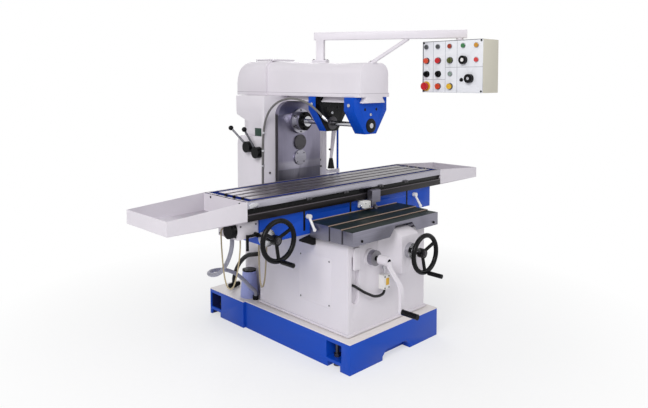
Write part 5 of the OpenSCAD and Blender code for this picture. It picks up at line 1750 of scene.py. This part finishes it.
@dataclass
class KneeFittings(Fittings):
    """Plates, pad, bolts and screws on the knee, its switch, wheels and crank."""

    side_x_mm: float = 355.0
    side_middle_mm: Pair = (-331.5, 460.0)
    side_plate_mm: Pair = (276.0, 292.0)
    side_thick_mm: float = 1.6
    side_screws_mm: Tuple[Pair, Pair] = ((-208.0, -455.0), (330.0, 590.0))
    side_screw_mm: Pair = (5.0, 2.0)
    pad_mm: Point = (-292.0, -606.5, 628.0)
    pad_size_mm: Pair = (49.0, 129.0)
    apron_mm: Tuple[Pair, float, float] = ((-324.0, 350.0), -682.5, 748.0)
    apron_bolt_mm: Pair = (8.0, 5.0)
    switch_mm: Point = (-59.0, -648.5, 452.0)
    switch_size_mm: Pair = (28.0, 42.0)
    switch_screws_mm: Tuple[Pair, float, Pair] = ((-83.0, -47.0), -648.5, (416.0, 484.0))
    switch_screw_mm: Pair = (4.5, 2.0)
    nut_mm: Profile = ((19, 0), (19, 3), (12, 3), (12, 9), (10, 11), (6, 11), (5, 9))
    bore_mm: Profile = ((14, 0), (14, 0.8), (11, 0.8), (10, 0.2))
    hubs_mm: Tuple[Tuple[str, Point], ...] = (
        ("cross_wheel", (85, -810, 623)), ("table_wheel", (-740, -452.5, 783.3))
    )
    crank_mm: Point = (-175.0, -756.5, 617.0)

    def build(self) -> None:
        """Makes the side plates, the pad, the switch's face and the wheels' nuts."""
        plates, screws = PieceMaker("knee_side_plates"), PieceMaker("knee_screws")
        for facing, side in ((Facing.LEFT, -1), (Facing.RIGHT, 1)):
            foot, face = side * self.side_x_mm, side * (self.side_x_mm + self.side_thick_mm)
            middle = [(foot, *self.side_middle_mm)]
            plates.plates(middle, facing, self.side_plate_mm, self.side_thick_mm, 8)
            screws.bolts(spots(face, *self.side_screws_mm), facing, *self.side_screw_mm)
        self.fit("knee_set", Trim.WHITE, plates)
        self.fit("knee_set", Trim.DARK, screws)
        pad = PieceMaker("knee_pad").plates([self.pad_mm], Facing.FRONT, self.pad_size_mm, 12, 6)
        self.fit("knee_set", Trim.WHITE, pad)
        self.front_bolts("apron_bolts", spots(*self.apron_mm), *self.apron_bolt_mm)
        plate = PieceMaker("switch_plate")
        plate.plates([self.switch_mm], Facing.FRONT, self.switch_size_mm, 1, 3)
        self.fit("knee_set", Trim.YELLOW, plate)
        self.front_bolts("switch_screws", spots(*self.switch_screws_mm), *self.switch_screw_mm)
        for body, hub in self.hubs_mm:
            nut = PieceMaker(body + "_nut").turned([hub], Facing.FRONT, self.nut_mm)
            self.fit(body, Trim.DARK, nut)
        bore = PieceMaker("crank_bore").turned([self.crank_mm], Facing.FRONT, self.bore_mm)
        self.fit("lift_crank", Trim.BLACK, bore)

    def front_bolts(
        self, name: str, feet_mm: List[Point], radius_mm: float, high_mm: float
    ) -> None:
        """Makes black bolts that look to the front."""
        heads = PieceMaker(name).bolts(feet_mm, Facing.FRONT, radius_mm, high_mm)
        self.fit("knee_set", Trim.BLACK, heads)


@dataclass
class SaddleFittings(Fittings):
    """Slots, a black rubber wedge that is partly painted shade, roller switch, wiper and screws on
    the saddle.
    """

    front_y_mm: float = -342.5
    low_z_mm: float = 743.5
    slots_mm: Tuple[Point, ...] = ((-450, 770, 886), (508, 782, 884), (-58, 822, 886))
    slot_wide_mm: float = 16.0
    wedge_mm: Profile = ((-357, 0), (-357, -72), (-382, -72), (-480, -32), (-480, -22))
    wedge_y_mm: Pair = (-341.5, -329.5)
    switch_mm: Pair = (40.0, 862.0)
    switch_size_mm: Point = (62.0, 44.0, 56.0)
    roller_foot_mm: Point = (6.0, -372.0, 852.0)
    roller_bolts_mm: Tuple[Point, ...] = ((22.0, -398.5, 872.0), (58.0, -398.5, 852.0))
    roller_bolt_mm: Pair = (4.0, 2.0)
    strip_z_mm: float = 819.4
    strip_mm: Pair = (790.0, 4.6)
    front_screws_mm: Tuple[Pair, float, float] = ((-896.0, -794.0), -327.5, 864.0)
    left_screws_mm: Tuple[float, Pair, float] = (-915.0, (-312.0, -164.0), 806.0)
    gearbox_screw_mm: Pair = (5.0, 3.0)
    roller_mm: Profile = ((9, 0), (9, 2), (8, 3), (3, 3), (3, 5), (2, 6))

    def build(self) -> None:
        """Makes the slots, the wedge, the roller switch, the wiper and the screws."""
        front, wide = self.front_y_mm, self.slot_wide_mm
        slots = PieceMaker("saddle_slots")
        for x, low, high in self.slots_mm:
            slots.plates([(x, front, (low + high) / 2)], Facing.FRONT, (wide, high - low), 1, 3)
        self.fit("saddle_set", Trim.BLACK, slots)
        # A black wedge under the saddle's left front edge: a rubber piece, and also painted shade
        # of the saddle's overhang.
        low = self.low_z_mm
        rings = [[(x, y, low + z) for x, z in self.wedge_mm] for y in self.wedge_y_mm]
        self.fit("saddle_set", Trim.RUBBER, PieceMaker("shaded_rubber_wedge").add(mm(*rings)))
        body = PieceMaker("roller_switch")
        x, z = self.switch_mm
        wide, tall, deep = self.switch_size_mm
        body.plates([(x, front, z)], Facing.FRONT, (wide, tall), deep, 5)
        self.fit("saddle_set", Trim.PALE, body)
        roller = PieceMaker("switch_roller")
        roller.turned([self.roller_foot_mm], Facing.LEFT, self.roller_mm)
        roller.bolts(self.roller_bolts_mm, Facing.FRONT, *self.roller_bolt_mm)
        self.fit("saddle_set", Trim.BRIGHT, roller)
        strip = PieceMaker("wiper_strip")
        strip.plates([(0, front, self.strip_z_mm)], Facing.FRONT, self.strip_mm, 4, 1)
        self.fit("saddle_set", Trim.WIPER, strip)
        screws = PieceMaker("gearbox_screws")
        screws.bolts(spots(*self.front_screws_mm), Facing.FRONT, *self.gearbox_screw_mm)
        screws.bolts(spots(*self.left_screws_mm), Facing.LEFT, *self.gearbox_screw_mm)
        self.fit("saddle_set", Trim.DARK, screws)


@dataclass
class TableFittings(Fittings):
    """Trip dogs, slot end and tray screws on the table."""

    front_y_mm: float = -361.5
    end_x_mm: float = 878.0
    dog_x_mm: Tuple[float, ...] = (-430.0, -120.0, 210.0, 470.0)
    dog_z_mm: float = 957.5
    dog_mm: Pair = (40.0, 14.0)
    dog_thick_mm: float = 8.0
    dog_bolt_mm: Pair = (5.0, 4.0)
    slot_end_mm: Point = (-834.0, -361.5, 974.0)
    slot_end_size_mm: Pair = (62.0, 28.0)
    tray_screw_y_mm: Pair = (-21.0, -296.0)
    tray_screw_z_mm: float = 981.0
    tray_screw_mm: Pair = (6.0, 3.0)

    def build(self) -> None:
        """Makes the dogs, the slot's end and the screws."""
        front = self.front_y_mm
        dogs = PieceMaker("trip_dogs")
        feet = spots(self.dog_x_mm, front, self.dog_z_mm)
        dogs.plates(feet, Facing.FRONT, self.dog_mm, self.dog_thick_mm, 3)
        heads = spots(self.dog_x_mm, front - self.dog_thick_mm, self.dog_z_mm)
        self.fit("table_set", Trim.DARK, dogs.bolts(heads, Facing.FRONT, *self.dog_bolt_mm))
        end = PieceMaker("slot_end")
        end.plates([self.slot_end_mm], Facing.FRONT, self.slot_end_size_mm, 4, 13)
        self.fit("table_set", Trim.BRIGHT, end)
        screws = PieceMaker("tray_screws")
        for facing, x in ((Facing.LEFT, -self.end_x_mm), (Facing.RIGHT, self.end_x_mm)):
            places = spots(x, self.tray_screw_y_mm, self.tray_screw_z_mm)
            screws.bolts(places, facing, *self.tray_screw_mm)
        self.fit("table_set", Trim.BLACK, screws)


def main() -> None:
    """Builds the studio, the hoses and the machine's pieces in order."""
    logging.basicConfig(level=logging.INFO, format="%(name)s: %(message)s")
    shop = Paintshop()
    Studio().build()
    HosesAndCables(shop).build()
    MachineBody(shop).build()
    for fittings in (
        ColumnFittings, OverarmFittings, PanelFittings, KneeFittings, SaddleFittings, TableFittings
    ):
        fittings(shop).build()


if __name__ == "__main__":
    main()
